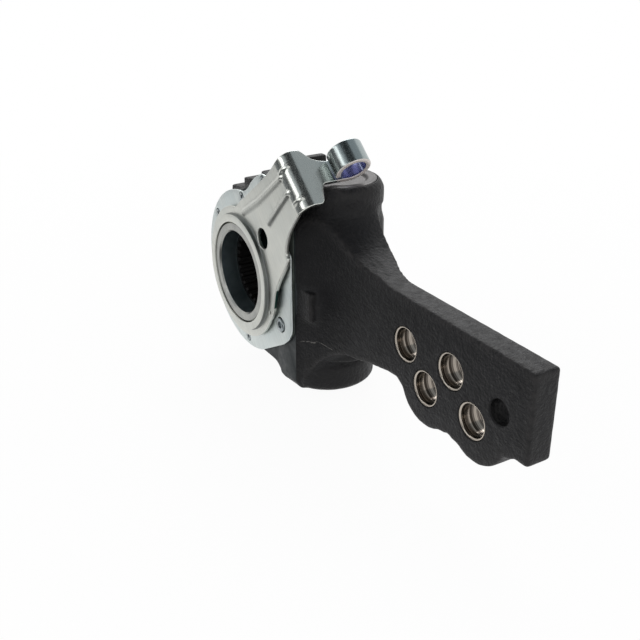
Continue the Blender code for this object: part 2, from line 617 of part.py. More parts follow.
def build_worm():
    """The worm shaft: hexagon, journals, thread and clutch hub."""
    root = WORM_PITCH_RADIUS - TOOTH_FALL
    hex_top = BOSS_BOTTOM + SEAT
    profile = [(0.0, NOSE_TOP), (NOSE_RADIUS, NOSE_TOP), (NOSE_RADIUS, CLUTCH_HUB_TOP),
               (CLUTCH_HUB_RADIUS, CLUTCH_HUB_TOP), (CLUTCH_HUB_RADIUS, THREAD_HALF_LENGTH + 1.0 * MM),
               (root, THREAD_HALF_LENGTH), (root, -THREAD_HALF_LENGTH - 1.0 * MM),
               (SHAFT_RADIUS, -THREAD_HALF_LENGTH - 2.5 * MM), (SHAFT_RADIUS, hex_top), (0.0, hex_top)]
    shaft = turned("worm_screw", profile, "Z", (0, 0, 0), COARSE, STEEL)
    thread = screwed_thread("thread", root, TOOTH_RISE, WORM_PITCH * TOOTH_SHARE,
                            THREAD_HALF_LENGTH, WORM_PITCH, 16)
    corner = HEX_FLATS / math.sqrt(3)
    hexagon = plate("hexagon", [circle((0, 0), corner, 6)], hex_top - HEX_LENGTH, hex_top + 1.0 * MM,
                    along="Z")
    ends = [box("trim", (-20 * MM, -20 * MM, THREAD_HALF_LENGTH), (20 * MM, 20 * MM, THREAD_HALF_LENGTH + 40 * MM)),
            box("trim", (-20 * MM, -20 * MM, -THREAD_HALF_LENGTH - 40 * MM), (20 * MM, 20 * MM, -THREAD_HALF_LENGTH))]
    thread = settle(combine(thread, ends, "DIFFERENCE"))
    shaft = settle(combine(shaft, [thread, hexagon], "UNION"))
    shaft.location = (WORM_X, 0, 0)
    return shaft


def coil(name, radius, wire, low, high, turns, centre, material, points=12):
    """A coil spring round Z as a thick POLY curve, its ends closed."""
    curve = bpy.data.curves.new(name, "CURVE")
    curve.dimensions = "3D"
    curve.bevel_depth = wire
    curve.bevel_resolution = 1
    curve.use_fill_caps = True
    spline = curve.splines.new("POLY")
    count = int(turns * points)
    spline.points.add(count)
    for index, point in enumerate(spline.points):
        share = index / count
        angle = 2 * math.pi * turns * share
        height = low + wire + (high - low - 2 * wire) * share
        point.co = (radius * math.cos(angle), radius * math.sin(angle), height, 1.0)
    thing = bpy.data.objects.new(name, curve)
    PARTS.objects.link(thing)
    curve.materials.append(material)
    thing.location = centre
    return settle(thing)


def build_worm_stack():
    """Everything on the worm's axis but the worm: bush, seal, washer, spring, cap and clutch."""
    axis = (WORM_X, 0, 0)
    bush_low = BOSS_BOTTOM + SEAT
    bush_high = bush_low + LOWER_BUSH_LENGTH
    sleeve("worm_lower_bush", SHAFT_RADIUS + SEAT, SHAFT_BORE_RADIUS - SEAT, bush_low, bush_high,
           "Z", axis, COARSE, BRONZE)
    sleeve("worm_shaft_seal", SHAFT_RADIUS + SEAT, SHAFT_BORE_RADIUS - SEAT, bush_high + SEAT,
           bush_high + SEAT + SHAFT_SEAL_LENGTH, "Z", axis, COARSE, RUBBER)
    washer_low = NOSE_TOP + SEAT
    sleeve("worm_thrust_washer", 3.0 * MM, WORM_BORE_RADIUS - 0.5 * MM, washer_low,
           washer_low + WASHER_THICKNESS, "Z", axis, COARSE, BRONZE)
    cap_low = BARREL_TOP - COVER_CAP_THICKNESS
    coil("worm_spring", SPRING_RADIUS, SPRING_WIRE, washer_low + WASHER_THICKNESS + SEAT,
         cap_low - SEAT, 3.5, axis, STEEL)
    ring = CAP_DISH_RADIUS
    floor = BARREL_TOP - CAP_DISH_DEPTH
    profile = [(0.0, floor), (ring - 1.2 * MM, floor), (ring - 0.6 * MM, floor + 0.3 * MM), (ring, BARREL_TOP),
               (COVER_CAP_RADIUS - 0.4 * MM, BARREL_TOP), (COVER_CAP_RADIUS, BARREL_TOP - 0.4 * MM),
               (COVER_CAP_RADIUS, cap_low), (0.0, cap_low)]
    turned("spring_cover", profile, "Z", axis, MEDIUM, ZINC)
    clutch_spring = coil("clutch_spring", CLUTCH_HUB_RADIUS + 1.2 * MM, 0.8 * MM, THREAD_HALF_LENGTH + 1.4 * MM,
         RACK_Z - RACK_HEIGHT / 2 - 0.4 * MM, 4, axis, DARK_STEEL)
    module_gap = 0.2 * MM
    outline = toothed_outline(PINION_TEETH, PINION_PITCH_RADIUS, PINION_RISE, PINION_FALL,
                              math.pi * PINION_PITCH_RADIUS / PINION_TEETH - module_gap, FLANK_SLOPE,
                              -math.pi / 2 + math.pi / PINION_TEETH)
    low = RACK_Z - RACK_HEIGHT / 2
    pinion = plate("clutch_pinion", [outline, circle((0, 0), NOSE_RADIUS + SEAT, COARSE)],
                   low, NOSE_TOP - 0.2 * MM, STEEL, along="Z")
    pinion.location = axis
    recentre(clutch_spring, axis)


def rack_outline():
    """Plan of the rack bar with its teeth towards the pinion, in XY."""
    pitch = 2 * math.pi * PINION_PITCH_RADIUS / PINION_TEETH
    half = pitch / 4 - 0.1 * MM
    tip = -PINION_PITCH_RADIUS + PINION_RISE
    root = -PINION_PITCH_RADIUS - PINION_FALL
    points = [(RACK_LEFT, RACK_BACKING), (RACK_RIGHT, RACK_BACKING), (RACK_RIGHT, root)]
    reach = int((RACK_RIGHT - WORM_X) / pitch)
    for number in range(reach, -4, -1):
        middle = WORM_X + number * pitch
        if middle + pitch / 2 > RACK_RIGHT:
            continue
        for offset, side in ((-PINION_FALL, 1), (PINION_RISE, 1), (PINION_RISE, -1), (-PINION_FALL, -1)):
            points.append((middle + side * (half - offset * FLANK_SLOPE), tip if offset > 0 else root))
    points.append((RACK_LEFT, root))
    return points


def build_rack():
    """The rack with the peg that runs in the control disc's slot."""
    bar = plate("rack", [rack_outline()], RACK_Z - RACK_HEIGHT / 2, RACK_Z + RACK_HEIGHT / 2, DARK_STEEL,
                along="Z")
    peg = rod("peg", PEG_RADIUS, DISC_FRONT, RACK_BACKING + 1.0 * MM, "Y", (PEG_X, 0, RACK_Z), SMALL)
    return settle(combine(bar, [peg], "UNION"))


def cover_outline(inset=0.0):
    """Outline of the cover plate: round over the hub, lobed at the top right, in XZ."""
    radius = COVER_RADIUS - inset
    right = BLOCK_RIGHT - inset
    top = COVER_TOP - inset
    points = arc((0.0, 0.0), radius, 97.0, 292.0, 40)
    points += [(right - 9.8 * MM, -26.8 * MM + inset), (right - 4.4 * MM, -22.4 * MM + inset)]
    points += arc((right - 8.0 * MM, -14.5 * MM), 8.0 * MM, -30.0, 0.0, 4)
    points += arc((right - 3.0 * MM, top - 3.0 * MM), 3.0 * MM, 0.0, 90.0, 4)
    points += arc((20.8 * MM, top - 5.0 * MM), 5.0 * MM, 90.0, 128.0, 4)
    points += [(8.7 * MM + inset, 49.5 * MM - inset), (3.0 * MM + inset, 45.4 * MM - inset),
               (-1.6 * MM + inset, 43.4 * MM - inset)]
    return points


def build_cover():
    """Front cover, its gasket and the screws that hold them."""
    gasket_back = HUB_FRONT - SEAT
    gasket_front = gasket_back - GASKET_THICKNESS
    cover_back = gasket_front - SEAT
    cover_front = cover_back - COVER_THICKNESS
    lock_hole = circle(LOCK_SCREW, LOCK_RADIUS + SEAT, SMALL)
    small_holes = [circle(point, SCREW_RADIUS + SEAT, SMALL) for point in SMALL_SCREWS]
    gasket_bore = circle((0, 0), CAVITY_RADIUS, FINE)
    plate("cover_gasket", [cover_outline(0.3 * MM), gasket_bore, lock_hole] + small_holes,
          gasket_front, gasket_back, FIBRE)
    cover = plate("front_cover", [cover_outline(), circle((0, 0), COVER_OPENING, FINE), lock_hole],
                  cover_front, cover_back, ZINC)
    wide = SCREW_HEAD + SEAT
    narrow = SCREW_RADIUS + SEAT
    sinks = []
    for x, z in SMALL_SCREWS:
        profile = [(0.0, cover_front - REACH), (wide, cover_front - REACH), (wide, cover_front + 0.2 * MM),
                   (narrow, cover_front + 0.9 * MM), (narrow, cover_back + REACH), (0.0, cover_back + REACH)]
        sinks.append(turned("sink", profile, "Y", (x, 0, z), SMALL))
    n, t = FAN_HOLE
    sight = (n * math.cos(ARM_ANGLE) - t * math.sin(ARM_ANGLE), 0,
             n * math.sin(ARM_ANGLE) + t * math.cos(ARM_ANGLE))
    sinks.append(rod("sight_notch", FAN_HOLE_RADIUS + SIGHT_MARGIN, cover_front - REACH, cover_back + REACH,
                     "Y", sight, COARSE))
    settle(combine(cover, sinks, "DIFFERENCE"))

    tip = HUB_FRONT + SCREW_LENGTH
    profile = [(0.0, cover_front), (SCREW_HEAD, cover_front), (SCREW_HEAD, cover_front + 0.2 * MM),
               (SCREW_RADIUS, cover_front + 0.9 * MM), (SCREW_RADIUS, tip - 0.5 * MM),
               (SCREW_RADIUS - 0.5 * MM, tip), (0.0, tip)]
    for number, (x, z) in enumerate(SMALL_SCREWS, 1):
        screw = turned(f"cover_screw_{number}", profile, "Y", (x, 0, z), SMALL, ZINC)
        socket = rod("socket", 0.9 * MM, cover_front - REACH, cover_front + 0.9 * MM, "Y", (x, 0, z), 6)
        settle(combine(screw, [socket], "DIFFERENCE"))

    seat = cover_front - SEAT
    head = 1.7 * MM
    profile = [(0.0, seat - head), (LOCK_HEAD - 0.5 * MM, seat - head), (LOCK_HEAD, seat - head + 0.5 * MM),
               (LOCK_HEAD, seat), (LOCK_RADIUS, seat), (LOCK_RADIUS, tip - 0.6 * MM),
               (LOCK_RADIUS - 0.6 * MM, tip), (0.0, tip)]
    lock = turned("cover_lock_screw", profile, "Y", (LOCK_SCREW[0], 0, LOCK_SCREW[1]), COARSE, ZINC)
    drive = rod("drive", 1.7 * MM, seat - head - REACH, seat - 0.5 * MM, "Y",
                (LOCK_SCREW[0], 0, LOCK_SCREW[1]), 6)
    settle(combine(lock, [drive], "DIFFERENCE"))


def ring_seal(name, radius, minor, y):
    """A round seal about the bore's axis."""
    bpy.ops.mesh.primitive_torus_add(major_segments=MEDIUM, minor_segments=6, major_radius=radius,
                                     minor_radius=minor, location=(0, y, 0),
                                     rotation=(math.pi / 2, 0, 0))
    made = bpy.context.active_object
    mesh = made.data
    mesh.transform(made.matrix_world)
    mesh.shade_smooth()
    bpy.data.objects.remove(made, do_unlink=True)
    return place(name, mesh, RUBBER)


def build_disc():
    """Control disc: the sleeve round the hub and the slotted flange that moves the rack."""
    back = DISC_FRONT + DISC_THICKNESS
    sleeve_front = RING_BACK + SEAT
    sleeve_back = back + SLEEVE_RUN
    groove_front = SEAL_GROOVE_Y - SEAL_GROOVE_DEPTH / 2
    groove_back = SEAL_GROOVE_Y + SEAL_GROOVE_DEPTH / 2
    inner = HUB_JOURNAL_RADIUS + SEAT
    profile = [(inner, sleeve_front), (SLEEVE_RADIUS, sleeve_front), (SLEEVE_RADIUS, DISC_FRONT),
               (DISC_RADIUS, DISC_FRONT), (DISC_RADIUS, back), (SLEEVE_RADIUS, back),
               (SLEEVE_RADIUS, sleeve_back), (inner, sleeve_back), (inner, groove_back),
               (SEAL_GROOVE_RADIUS, groove_back), (SEAL_GROOVE_RADIUS, groove_front),
               (inner, groove_front)]
    disc = turned("control_disc", profile, "Y", (0, 0, 0), MEDIUM, DARK_STEEL)
    angle = math.atan2(RACK_Z, PEG_X)
    floor = SLEEVE_RADIUS + 0.3 * MM
    half = PEG_RADIUS + 0.35 * MM
    corners = [(floor, -half), (DISC_RADIUS + 3.0 * MM, -half), (DISC_RADIUS + 3.0 * MM, half), (floor, half)]
    slot_loop = [(n * math.cos(angle) - t * math.sin(angle), n * math.sin(angle) + t * math.cos(angle))
                 for n, t in corners]
    slot = plate("slot", [slot_loop], DISC_FRONT - REACH, back + 0.35 * MM)
    settle(combine(disc, [slot], "DIFFERENCE"))
    front_minor = SEAL_GROOVE_DEPTH / 2 - SEAT
    ring_seal("front_hub_seal", HUB_JOURNAL_RADIUS + SEAT + front_minor, front_minor, SEAL_GROOVE_Y)
    rear_minor = REAR_SEAL_DEPTH / 2 - SEAT
    ring_seal("rear_hub_seal", HUB_JOURNAL_RADIUS + SEAT + rear_minor, rear_minor, REAR_SEAL_Y)


def fan_outline():
    """Flat blank of the control arm: along the arm, then across it, with the strap still straight."""
    bend = BEND_RADIUS * math.pi / 2
    straight = EYE_Y - (FAN_FRONT + SHEET / 2 + BEND_RADIUS)
    foot = BEND_START + bend
    tip = foot + straight + EYE_RADIUS * EYE_WRAP
    upper = [(30.1 * MM, 23.7 * MM), (44.2 * MM, 20.5 * MM), (60.2 * MM, 16.8 * MM), (72.3 * MM, 14.2 * MM),
             (78.0 * MM, 14.8 * MM), (BEND_START + 3.0 * MM, 15.5 * MM), (foot + straight * 0.18, 15.5 * MM),
             (foot + straight * 0.24, STRAP_HIGH + 7.8 * MM), (foot + straight * 0.29, STRAP_HIGH + 6.5 * MM),
             (foot + straight * 0.35, STRAP_HIGH + 4.3 * MM), (foot + straight * 0.41, STRAP_HIGH + 2.6 * MM),
             (foot + straight * 0.49, STRAP_HIGH + 1.4 * MM), (foot + straight * 0.58, STRAP_HIGH + 0.6 * MM),
             (foot + straight * 0.70, STRAP_HIGH), (tip, STRAP_HIGH)]
    clear = foot + straight * 0.44           # the low edge narrows before the worm barrel
    lower = [(tip, STRAP_LOW), (clear, STRAP_LOW), (clear - 1.2 * MM, STRAP_LOW - 2.2 * MM),
             (clear - 2.3 * MM, STRAP_LOW - 5.4 * MM), (BEND_START + 12.6 * MM, -14.5 * MM),
             (BEND_START, -14.2 * MM), (73.6 * MM, -14.4 * MM), (66.0 * MM, -14.8 * MM),
             (60.4 * MM, -15.7 * MM), (54.7 * MM, -17.8 * MM), (51.4 * MM, -20.4 * MM),
             (51.9 * MM, -22.6 * MM), (50.6 * MM, -23.7 * MM), (43.2 * MM, -24.6 * MM),
             (33.9 * MM, -25.7 * MM), (27.1 * MM, -27.1 * MM), (21.3 * MM, -30.2 * MM),
             (15.9 * MM, -33.0 * MM), (9.6 * MM, -34.4 * MM)]
    start = math.degrees(math.atan2(23.7, 30.1))
    around = arc((0.0, 0.0), RING_EDGE_RADIUS, 284.0, start + 8.0, 48)
    return upper + lower + around


def folded(point):
    """Carry a point of the flat blank round the bend, up the strap and round the eye."""
    across = point.z
    middle = FAN_FRONT + SHEET / 2
    lift = point.y - middle                    # negative towards the front of the sheet
    run = point.x - BEND_START
    bend = BEND_RADIUS * math.pi / 2
    straight = EYE_Y - (middle + BEND_RADIUS)
    if run <= 0:
        return Vector((point.x, point.y, across))
    if run <= bend:
        turn = run / BEND_RADIUS
        reach = BEND_RADIUS - lift
        return Vector((BEND_START + reach * math.sin(turn), middle + BEND_RADIUS - reach * math.cos(turn),
                       across))
    run -= bend
    if run <= straight:
        return Vector((BEND_START + BEND_RADIUS - lift, middle + BEND_RADIUS + run, across))
    turn = (run - straight) / EYE_RADIUS
    centre = BEND_START + BEND_RADIUS + EYE_RADIUS
    reach = EYE_RADIUS + lift
    return Vector((centre - reach * math.cos(turn), EYE_Y + reach * math.sin(turn), across))


def build_arm():
    """Control arm: ring, fan with two pressed ribs, bend, strap and rolled eye."""
    blank = plate("control_arm", [fan_outline(), circle((0, 0), RING_BORE + 1.5 * MM, FINE),
                                  circle(FAN_HOLE, FAN_HOLE_RADIUS, COARSE),
                                  circle(DIMPLE, DIMPLE_RADIUS, SMALL)], FAN_FRONT, FAN_FRONT + SHEET, ZINC)
    work = bmesh.new()
    work.from_mesh(blank.data)
    bend = BEND_RADIUS * math.pi / 2
    straight = EYE_Y - (FAN_FRONT + SHEET / 2 + BEND_RADIUS)
    lines = [BEND_START + bend * i / 6 for i in range(7)]
    lines += [BEND_START + bend + straight + EYE_RADIUS * EYE_WRAP * i / 18 for i in range(18)]
    for line in lines:
        geometry = work.verts[:] + work.edges[:] + work.faces[:]
        bmesh.ops.bisect_plane(work, geom=geometry, dist=0.001 * MM, plane_co=(line, 0, 0), plane_no=(1, 0, 0))
    for vertex in work.verts:
        vertex.co = folded(vertex.co)
    work.to_mesh(blank.data)
    work.free()
    front = RING_FRONT
    within = FAN_FRONT + 0.5 * SHEET
    land = SLEEVE_RADIUS + RING_LAND
    profile = [(RING_BORE, RING_BACK), (land, RING_BACK), (land, within),
               (RING_STEP_RADIUS + 0.6 * MM, within), (RING_STEP_RADIUS + 0.1 * MM, FAN_FRONT - 0.7 * MM),
               (RING_STEP_RADIUS, front + 0.7 * MM), (RING_STEP_RADIUS - 0.3 * MM, front + 0.2 * MM),
               (RING_STEP_RADIUS - 0.8 * MM, front), (RING_BORE + 0.4 * MM, front), (RING_BORE, front + 0.4 * MM)]
    parts = [turned("ring", profile, "Y", (0, 0, 0), FINE)]
    for path in (((30.5, 18.1), (48.8, 13.3), (77.5, 6.2)), ((50.8, -0.8), (78.5, -1.4))):
        parts.append(pressed_rib(path))
    arm = settle(combine(blank, parts, "UNION"))
    arm.data.transform(Matrix.Rotation(-ARM_ANGLE, 4, "Y"))
    return arm


def pressed_rib(path):
    """A round-nosed rib along a path in the arm's own frame, mostly sunk in the sheet."""
    curve = bpy.data.curves.new("rib", "CURVE")
    curve.dimensions = "3D"
    curve.bevel_depth = RIB_RADIUS
    curve.bevel_resolution = 3
    curve.use_fill_caps = True
    spline = curve.splines.new("POLY")
    spline.points.add(len(path) - 1)
    for point, (x, z) in zip(spline.points, path):
        point.co = (x * MM, FAN_FRONT + RIB_RADIUS - RIB_RISE, z * MM, 1.0)
    thing = bpy.data.objects.new("rib", curve)
    PARTS.objects.link(thing)
    return settle(thing)


build_housing()
build_bushes()
build_worm_wheel()
build_worm()
build_worm_stack()
build_rack()
build_cover()
build_disc()
build_arm()
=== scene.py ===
"""Looks of an automatic brake slack adjuster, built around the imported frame.

Frame: the origin is the centre of the splined bore, +Y runs along the bore towards the back,
+X points along the lever and +Z is up, along the worm shaft. Lengths are in metres.
"""
from __future__ import annotations

import json
import logging
import math
from collections.abc import Callable
from dataclasses import dataclass
from enum import Enum

import bmesh
import bpy
import numpy as np
from mathutils import Matrix, Vector
from mathutils.geometry import delaunay_2d_cdt

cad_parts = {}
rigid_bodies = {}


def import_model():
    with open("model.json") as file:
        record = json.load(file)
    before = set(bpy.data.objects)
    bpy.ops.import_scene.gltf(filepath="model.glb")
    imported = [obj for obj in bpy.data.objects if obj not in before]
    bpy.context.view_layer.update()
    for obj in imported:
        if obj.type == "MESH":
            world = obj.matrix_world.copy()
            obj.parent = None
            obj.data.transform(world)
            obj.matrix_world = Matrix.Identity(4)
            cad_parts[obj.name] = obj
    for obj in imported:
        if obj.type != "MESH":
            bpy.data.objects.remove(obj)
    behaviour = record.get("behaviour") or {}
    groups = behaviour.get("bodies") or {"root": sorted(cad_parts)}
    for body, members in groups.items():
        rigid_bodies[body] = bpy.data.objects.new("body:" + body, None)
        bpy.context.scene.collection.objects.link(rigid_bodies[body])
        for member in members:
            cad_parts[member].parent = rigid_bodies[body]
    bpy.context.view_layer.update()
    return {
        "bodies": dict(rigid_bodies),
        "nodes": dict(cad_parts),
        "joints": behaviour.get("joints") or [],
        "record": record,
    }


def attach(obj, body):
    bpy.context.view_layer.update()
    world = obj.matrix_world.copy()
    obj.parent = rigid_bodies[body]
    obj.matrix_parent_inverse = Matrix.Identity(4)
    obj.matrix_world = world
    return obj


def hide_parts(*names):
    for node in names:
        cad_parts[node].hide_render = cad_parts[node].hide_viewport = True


LOG = logging.getLogger("slack_adjuster")
MM = 0.001

# Places that several pieces share; pairs are x and z in millimetres from the bore's centre
BORE_CENTRE = (0.0, 0.0, 0.0)
WORM_CENTRE = (48.5 * MM, 0.0, 0.0)
BUSH_PLACES = ((125.0, 7.3), (140.0, -7.0), (155.6, 8.5), (170.4, -7.0))
SMALL_SCREW_PLACES = ((-31.5, 22.9), (-2.1, 40.2), (0.0, -38.8), (21.7, 54.8), (43.8, 52.5))
LOCK_SCREW_PLACE = (37.1, -16.5)


class Axis(Enum):
    """The axis that a turned piece is turned about."""

    BORE = "Y"
    WORM = "Z"


class Body(Enum):
    """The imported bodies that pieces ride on."""

    ADJUSTER = "adjuster_body"
    WHEEL = "worm_wheel_body"
    ARM = "control_arm_body"


def linear(red: float, green: float, blue: float) -> tuple[float, float, float, float]:
    """Turn a display colour into the linear colour that a shader takes.

    A channel c from 0 to 1 becomes c / 12.92 up to 0.04045 and ((c + 0.055) / 1.055)^2.4 above it.

    Args:
        red: Red from 0 to 255.
        green: Green from 0 to 255.
        blue: Blue from 0 to 255.

    Returns:
        Linear red, green and blue, and 1 for alpha.
    """
    steps = np.array([red, green, blue]) / 255.0
    value = np.where(steps <= 0.04045, steps / 12.92, ((steps + 0.055) / 1.055) ** 2.4)
    return (float(value[0]), float(value[1]), float(value[2]), 1.0)


# Meshes from whole arrays


def mesh_points(mesh: bpy.types.Mesh) -> np.ndarray:
    """Read the points of a mesh.

    Args:
        mesh: The mesh.

    Returns:
        Array (n, 3).
    """
    points = np.empty(len(mesh.vertices) * 3, dtype=np.float32)
    mesh.vertices.foreach_get("co", points)
    return points.reshape(-1, 3)


def mark(mesh: bpy.types.Mesh, name: str, share: np.ndarray) -> None:
    """Store a share from 0 to 1 at each point, which a finish reads by its name."""
    mesh.attributes.new(name, "FLOAT", "POINT").data.foreach_set("value", share.astype(np.float32))


def put_in_scene(name: str, data: bpy.types.ID) -> bpy.types.Object:
    """Put a mesh, lamp or camera in the scene.

    Args:
        name: The object's name.
        data: What it shows.

    Returns:
        The object, at the origin.
    """
    thing = bpy.data.objects.new(name, data)
    bpy.context.scene.collection.objects.link(thing)
    return thing


def bake(thing: bpy.types.Object) -> bpy.types.Object:
    """Replace an object with modifiers by one whose mesh has them applied.

    Args:
        thing: The object, which is removed.

    Returns:
        The new object.
    """
    bpy.context.view_layer.update()
    graph = bpy.context.evaluated_depsgraph_get()
    mesh = bpy.data.meshes.new_from_object(thing.evaluated_get(graph), depsgraph=graph)
    name = thing.name
    bpy.data.objects.remove(thing, do_unlink=True)
    return put_in_scene(name, mesh)


def lay_mesh(name: str, points: np.ndarray, quads: np.ndarray, triangles: np.ndarray | None = None,
             sharp: float = 35.0) -> bpy.types.Mesh:
    """Make a closed mesh from arrays, weld doubled points and turn the faces outwards.

    Args:
        name: The mesh's name.
        points: Array (n, 3) of points in metres.
        quads: Array (m, 4) of point numbers.
        triangles: Array (k, 3) of point numbers, if any.
        sharp: Edges that fold more than this many degrees are drawn sharp.

    Returns:
        The mesh, shaded smooth between its sharp edges.
    """
    three = np.zeros((0, 3), dtype=np.int64) if triangles is None else triangles
    corners = np.concatenate([quads.ravel(), three.ravel()]).astype(np.int32)
    starts = np.concatenate([np.arange(len(quads)) * 4,
                             len(quads) * 4 + np.arange(len(three)) * 3]).astype(np.int32)
    mesh = bpy.data.meshes.new(name)
    mesh.vertices.add(len(points))
    mesh.vertices.foreach_set("co", points.astype(np.float32).ravel())
    mesh.loops.add(len(corners))
    mesh.loops.foreach_set("vertex_index", corners)
    mesh.polygons.add(len(starts))
    mesh.polygons.foreach_set("loop_start", starts)
    mesh.update(calc_edges=True)
    mesh.validate()
    work = bmesh.new()
    work.from_mesh(mesh)
    bmesh.ops.remove_doubles(work, verts=work.verts, dist=1e-7)
    bmesh.ops.recalc_face_normals(work, faces=work.faces)
    work.to_mesh(mesh)
    work.free()
    mesh.shade_smooth()
    mesh.set_sharp_from_angle(angle=math.radians(sharp))
    return mesh


def grid_quads(rows: int, columns: int, wrap_rows: bool, wrap_columns: bool) -> np.ndarray:
    """Point numbers of the quads of a grid whose points run row by row.

    Args:
        rows: Number of rows of points.
        columns: Number of points in a row.
        wrap_rows: Whether the last row joins the first.
        wrap_columns: Whether the last point of a row joins its first.

    Returns:
        Array (m, 4).
    """
    row = np.arange(rows if wrap_rows else rows - 1)
    column = np.arange(columns if wrap_columns else columns - 1)
    r, c = np.meshgrid(row, column, indexing="ij")
    below = (r + 1) % rows
    right = (c + 1) % columns
    quads = np.stack([r * columns + c, r * columns + right, below * columns + right,
                      below * columns + c], axis=-1)
    return quads.reshape(-1, 4)


def eased(corners: np.ndarray, widths: np.ndarray, steps: int = 5) -> np.ndarray:
    """Round the corners of a closed profile.

    Each corner C is replaced by the curve (1-s)^2 A + 2 s (1-s) C + s^2 B, where A and B lie the
    corner's width away from it on the two sides, or half a side away if that is less.

    Args:
        corners: Array (k, 2) of corners in order.
        widths: Array (k,) of how far the rounding reaches along each side.
        steps: Points on each rounding.

    Returns:
        Array (k * steps, 2).
    """
    before = np.roll(corners, 1, axis=0) - corners
    after = np.roll(corners, -1, axis=0) - corners
    size_before = np.linalg.norm(before, axis=1)
    size_after = np.linalg.norm(after, axis=1)
    reach_before = np.minimum(widths, size_before * 0.49)
    reach_after = np.minimum(widths, size_after * 0.49)
    first = corners + before * (reach_before / size_before)[:, None]
    last = corners + after * (reach_after / size_after)[:, None]
    s = np.linspace(0.0, 1.0, steps)[None, :, None]
    curve = ((1 - s) ** 2 * first[:, None, :] + 2 * s * (1 - s) * corners[:, None, :]
             + s ** 2 * last[:, None, :])
    return curve.reshape(-1, 2)


def turned_points(radii: np.ndarray, heights: np.ndarray, axis: Axis,
                  centre: tuple[float, float, float], twist: np.ndarray | None = None) -> np.ndarray:
    """Points of a turned surface: radius r(s, angle) and height h(s) about an axis.

    Args:
        radii: Array (rows, steps) of radii.
        heights: Array (rows,) of heights along the axis.
        axis: The axis.
        centre: A point on the axis from which heights count.
        twist: Array (rows,) of extra turns in radians, if any.

    Returns:
        Array (rows * steps, 3).
    """
    angle = np.linspace(0.0, 2 * np.pi, radii.shape[1], endpoint=False)[None, :]
    if twist is not None:
        angle = angle + twist[:, None]
    across = radii * np.cos(angle)
    upright = radii * np.sin(angle)
    along = np.broadcast_to(heights[:, None], radii.shape)
    if axis is Axis.BORE:
        cloud = np.stack([across, along, upright], axis=-1)
    else:
        cloud = np.stack([across, upright, along], axis=-1)
    return cloud.reshape(-1, 3) + np.array(centre)


def turned(name: str, profile: np.ndarray, axis: Axis, centre: tuple[float, float, float],
           steps: int = 96, sharp: float = 35.0) -> bpy.types.Mesh:
    """Turn a closed profile about an axis.

    Every point (r, h) of the profile becomes the circle of radius r at height h; where r is 0 the
    circle is one point on the axis, which closes the surface.

    Args:
        name: The mesh's name.
        profile: Array (k, 2) of radii and heights in order.
        axis: The axis.
        centre: A point on the axis from which heights count.
        steps: Points on each circle.
        sharp: Edges that fold more than this many degrees are drawn sharp.

    Returns:
        The closed mesh.
    """
    radii = np.repeat(profile[:, :1], steps, axis=1)
    points = turned_points(radii, profile[:, 1], axis, centre)
    return lay_mesh(name, points, grid_quads(len(profile), steps, True, True), None, sharp)


def smoothed_loop(points: np.ndarray, passes: int = 2) -> np.ndarray:
    """Cut the corners of a closed loop: each side keeps the points at one and three quarters of it.

    Args:
        points: Array (n, 2) of the loop's points.
        passes: How many times the corners are cut.

    Returns:
        Array (n * 2^passes, 2).
    """
    loop = points
    for _ in range(passes):
        after = np.roll(loop, -1, axis=0)
        pairs = np.stack([0.75 * loop + 0.25 * after, 0.25 * loop + 0.75 * after], axis=1)
        loop = pairs.reshape(-1, 2)
    return loop


def even_loop(points: np.ndarray, spacing: float) -> np.ndarray:
    """Space the points of a closed loop evenly along its length.

    Args:
        points: Array (n, 2) of the loop's points.
        spacing: About how far apart the new points lie.

    Returns:
        Array (m, 2).
    """
    closed = np.vstack([points, points[:1]])
    lengths = np.linalg.norm(np.diff(closed, axis=0), axis=1)
    travel = np.concatenate([[0.0], np.cumsum(lengths)])
    count = max(12, int(round(travel[-1] / spacing)))
    where = np.linspace(0.0, travel[-1], count, endpoint=False)
    return np.stack([np.interp(where, travel, closed[:, side]) for side in (0, 1)], axis=1)


def circle_loop(centre: tuple[float, float], radius: float, count: int, start: float = 0.0,
                stop: float = 360.0) -> np.ndarray:
    """Points on a circle or an arc.

    Args:
        centre: The centre.
        radius: The radius.
        count: Number of points.
        start: Angle of the first point in degrees.
        stop: Angle of the last point; a whole circle doesn't repeat its first point.

    Returns:
        Array (count, 2).
    """
    whole = abs(stop - start) >= 360.0
    angle = np.radians(np.linspace(start, stop, count, endpoint=not whole))
    return np.stack([centre[0] + radius * np.cos(angle), centre[1] + radius * np.sin(angle)], axis=1)


def inside_loop(points: np.ndarray, loop: np.ndarray) -> np.ndarray:
    """Tell which points lie inside a closed loop, by counting the sides that a ray to +X crosses.

    Args:
        points: Array (n, 2) of points.
        loop: Array (m, 2) of the loop's points.

    Returns:
        Array (n,) of true or false.
    """
    x, y = points[:, :1], points[:, 1:2]
    ax, ay = loop[:, 0][None, :], loop[:, 1][None, :]
    after = np.roll(loop, -1, axis=0)
    bx, by = after[:, 0][None, :], after[:, 1][None, :]
    spans = (ay > y) != (by > y)
    rise = np.where(by == ay, 1.0, by - ay)
    cross = x < (bx - ax) * (y - ay) / rise + ax
    return (np.sum(spans & cross, axis=1) % 2) == 1


def outward(loop: np.ndarray) -> np.ndarray:
    """Unit directions to the right of a loop's travel.

    Args:
        loop: Array (n, 2) of the loop's points.

    Returns:
        Array (n, 2), one direction at each point.
    """
    travel = np.roll(loop, -1, axis=0) - np.roll(loop, 1, axis=0)
    travel /= np.linalg.norm(travel, axis=1)[:, None]
    return np.stack([travel[:, 1], -travel[:, 0]], axis=1)


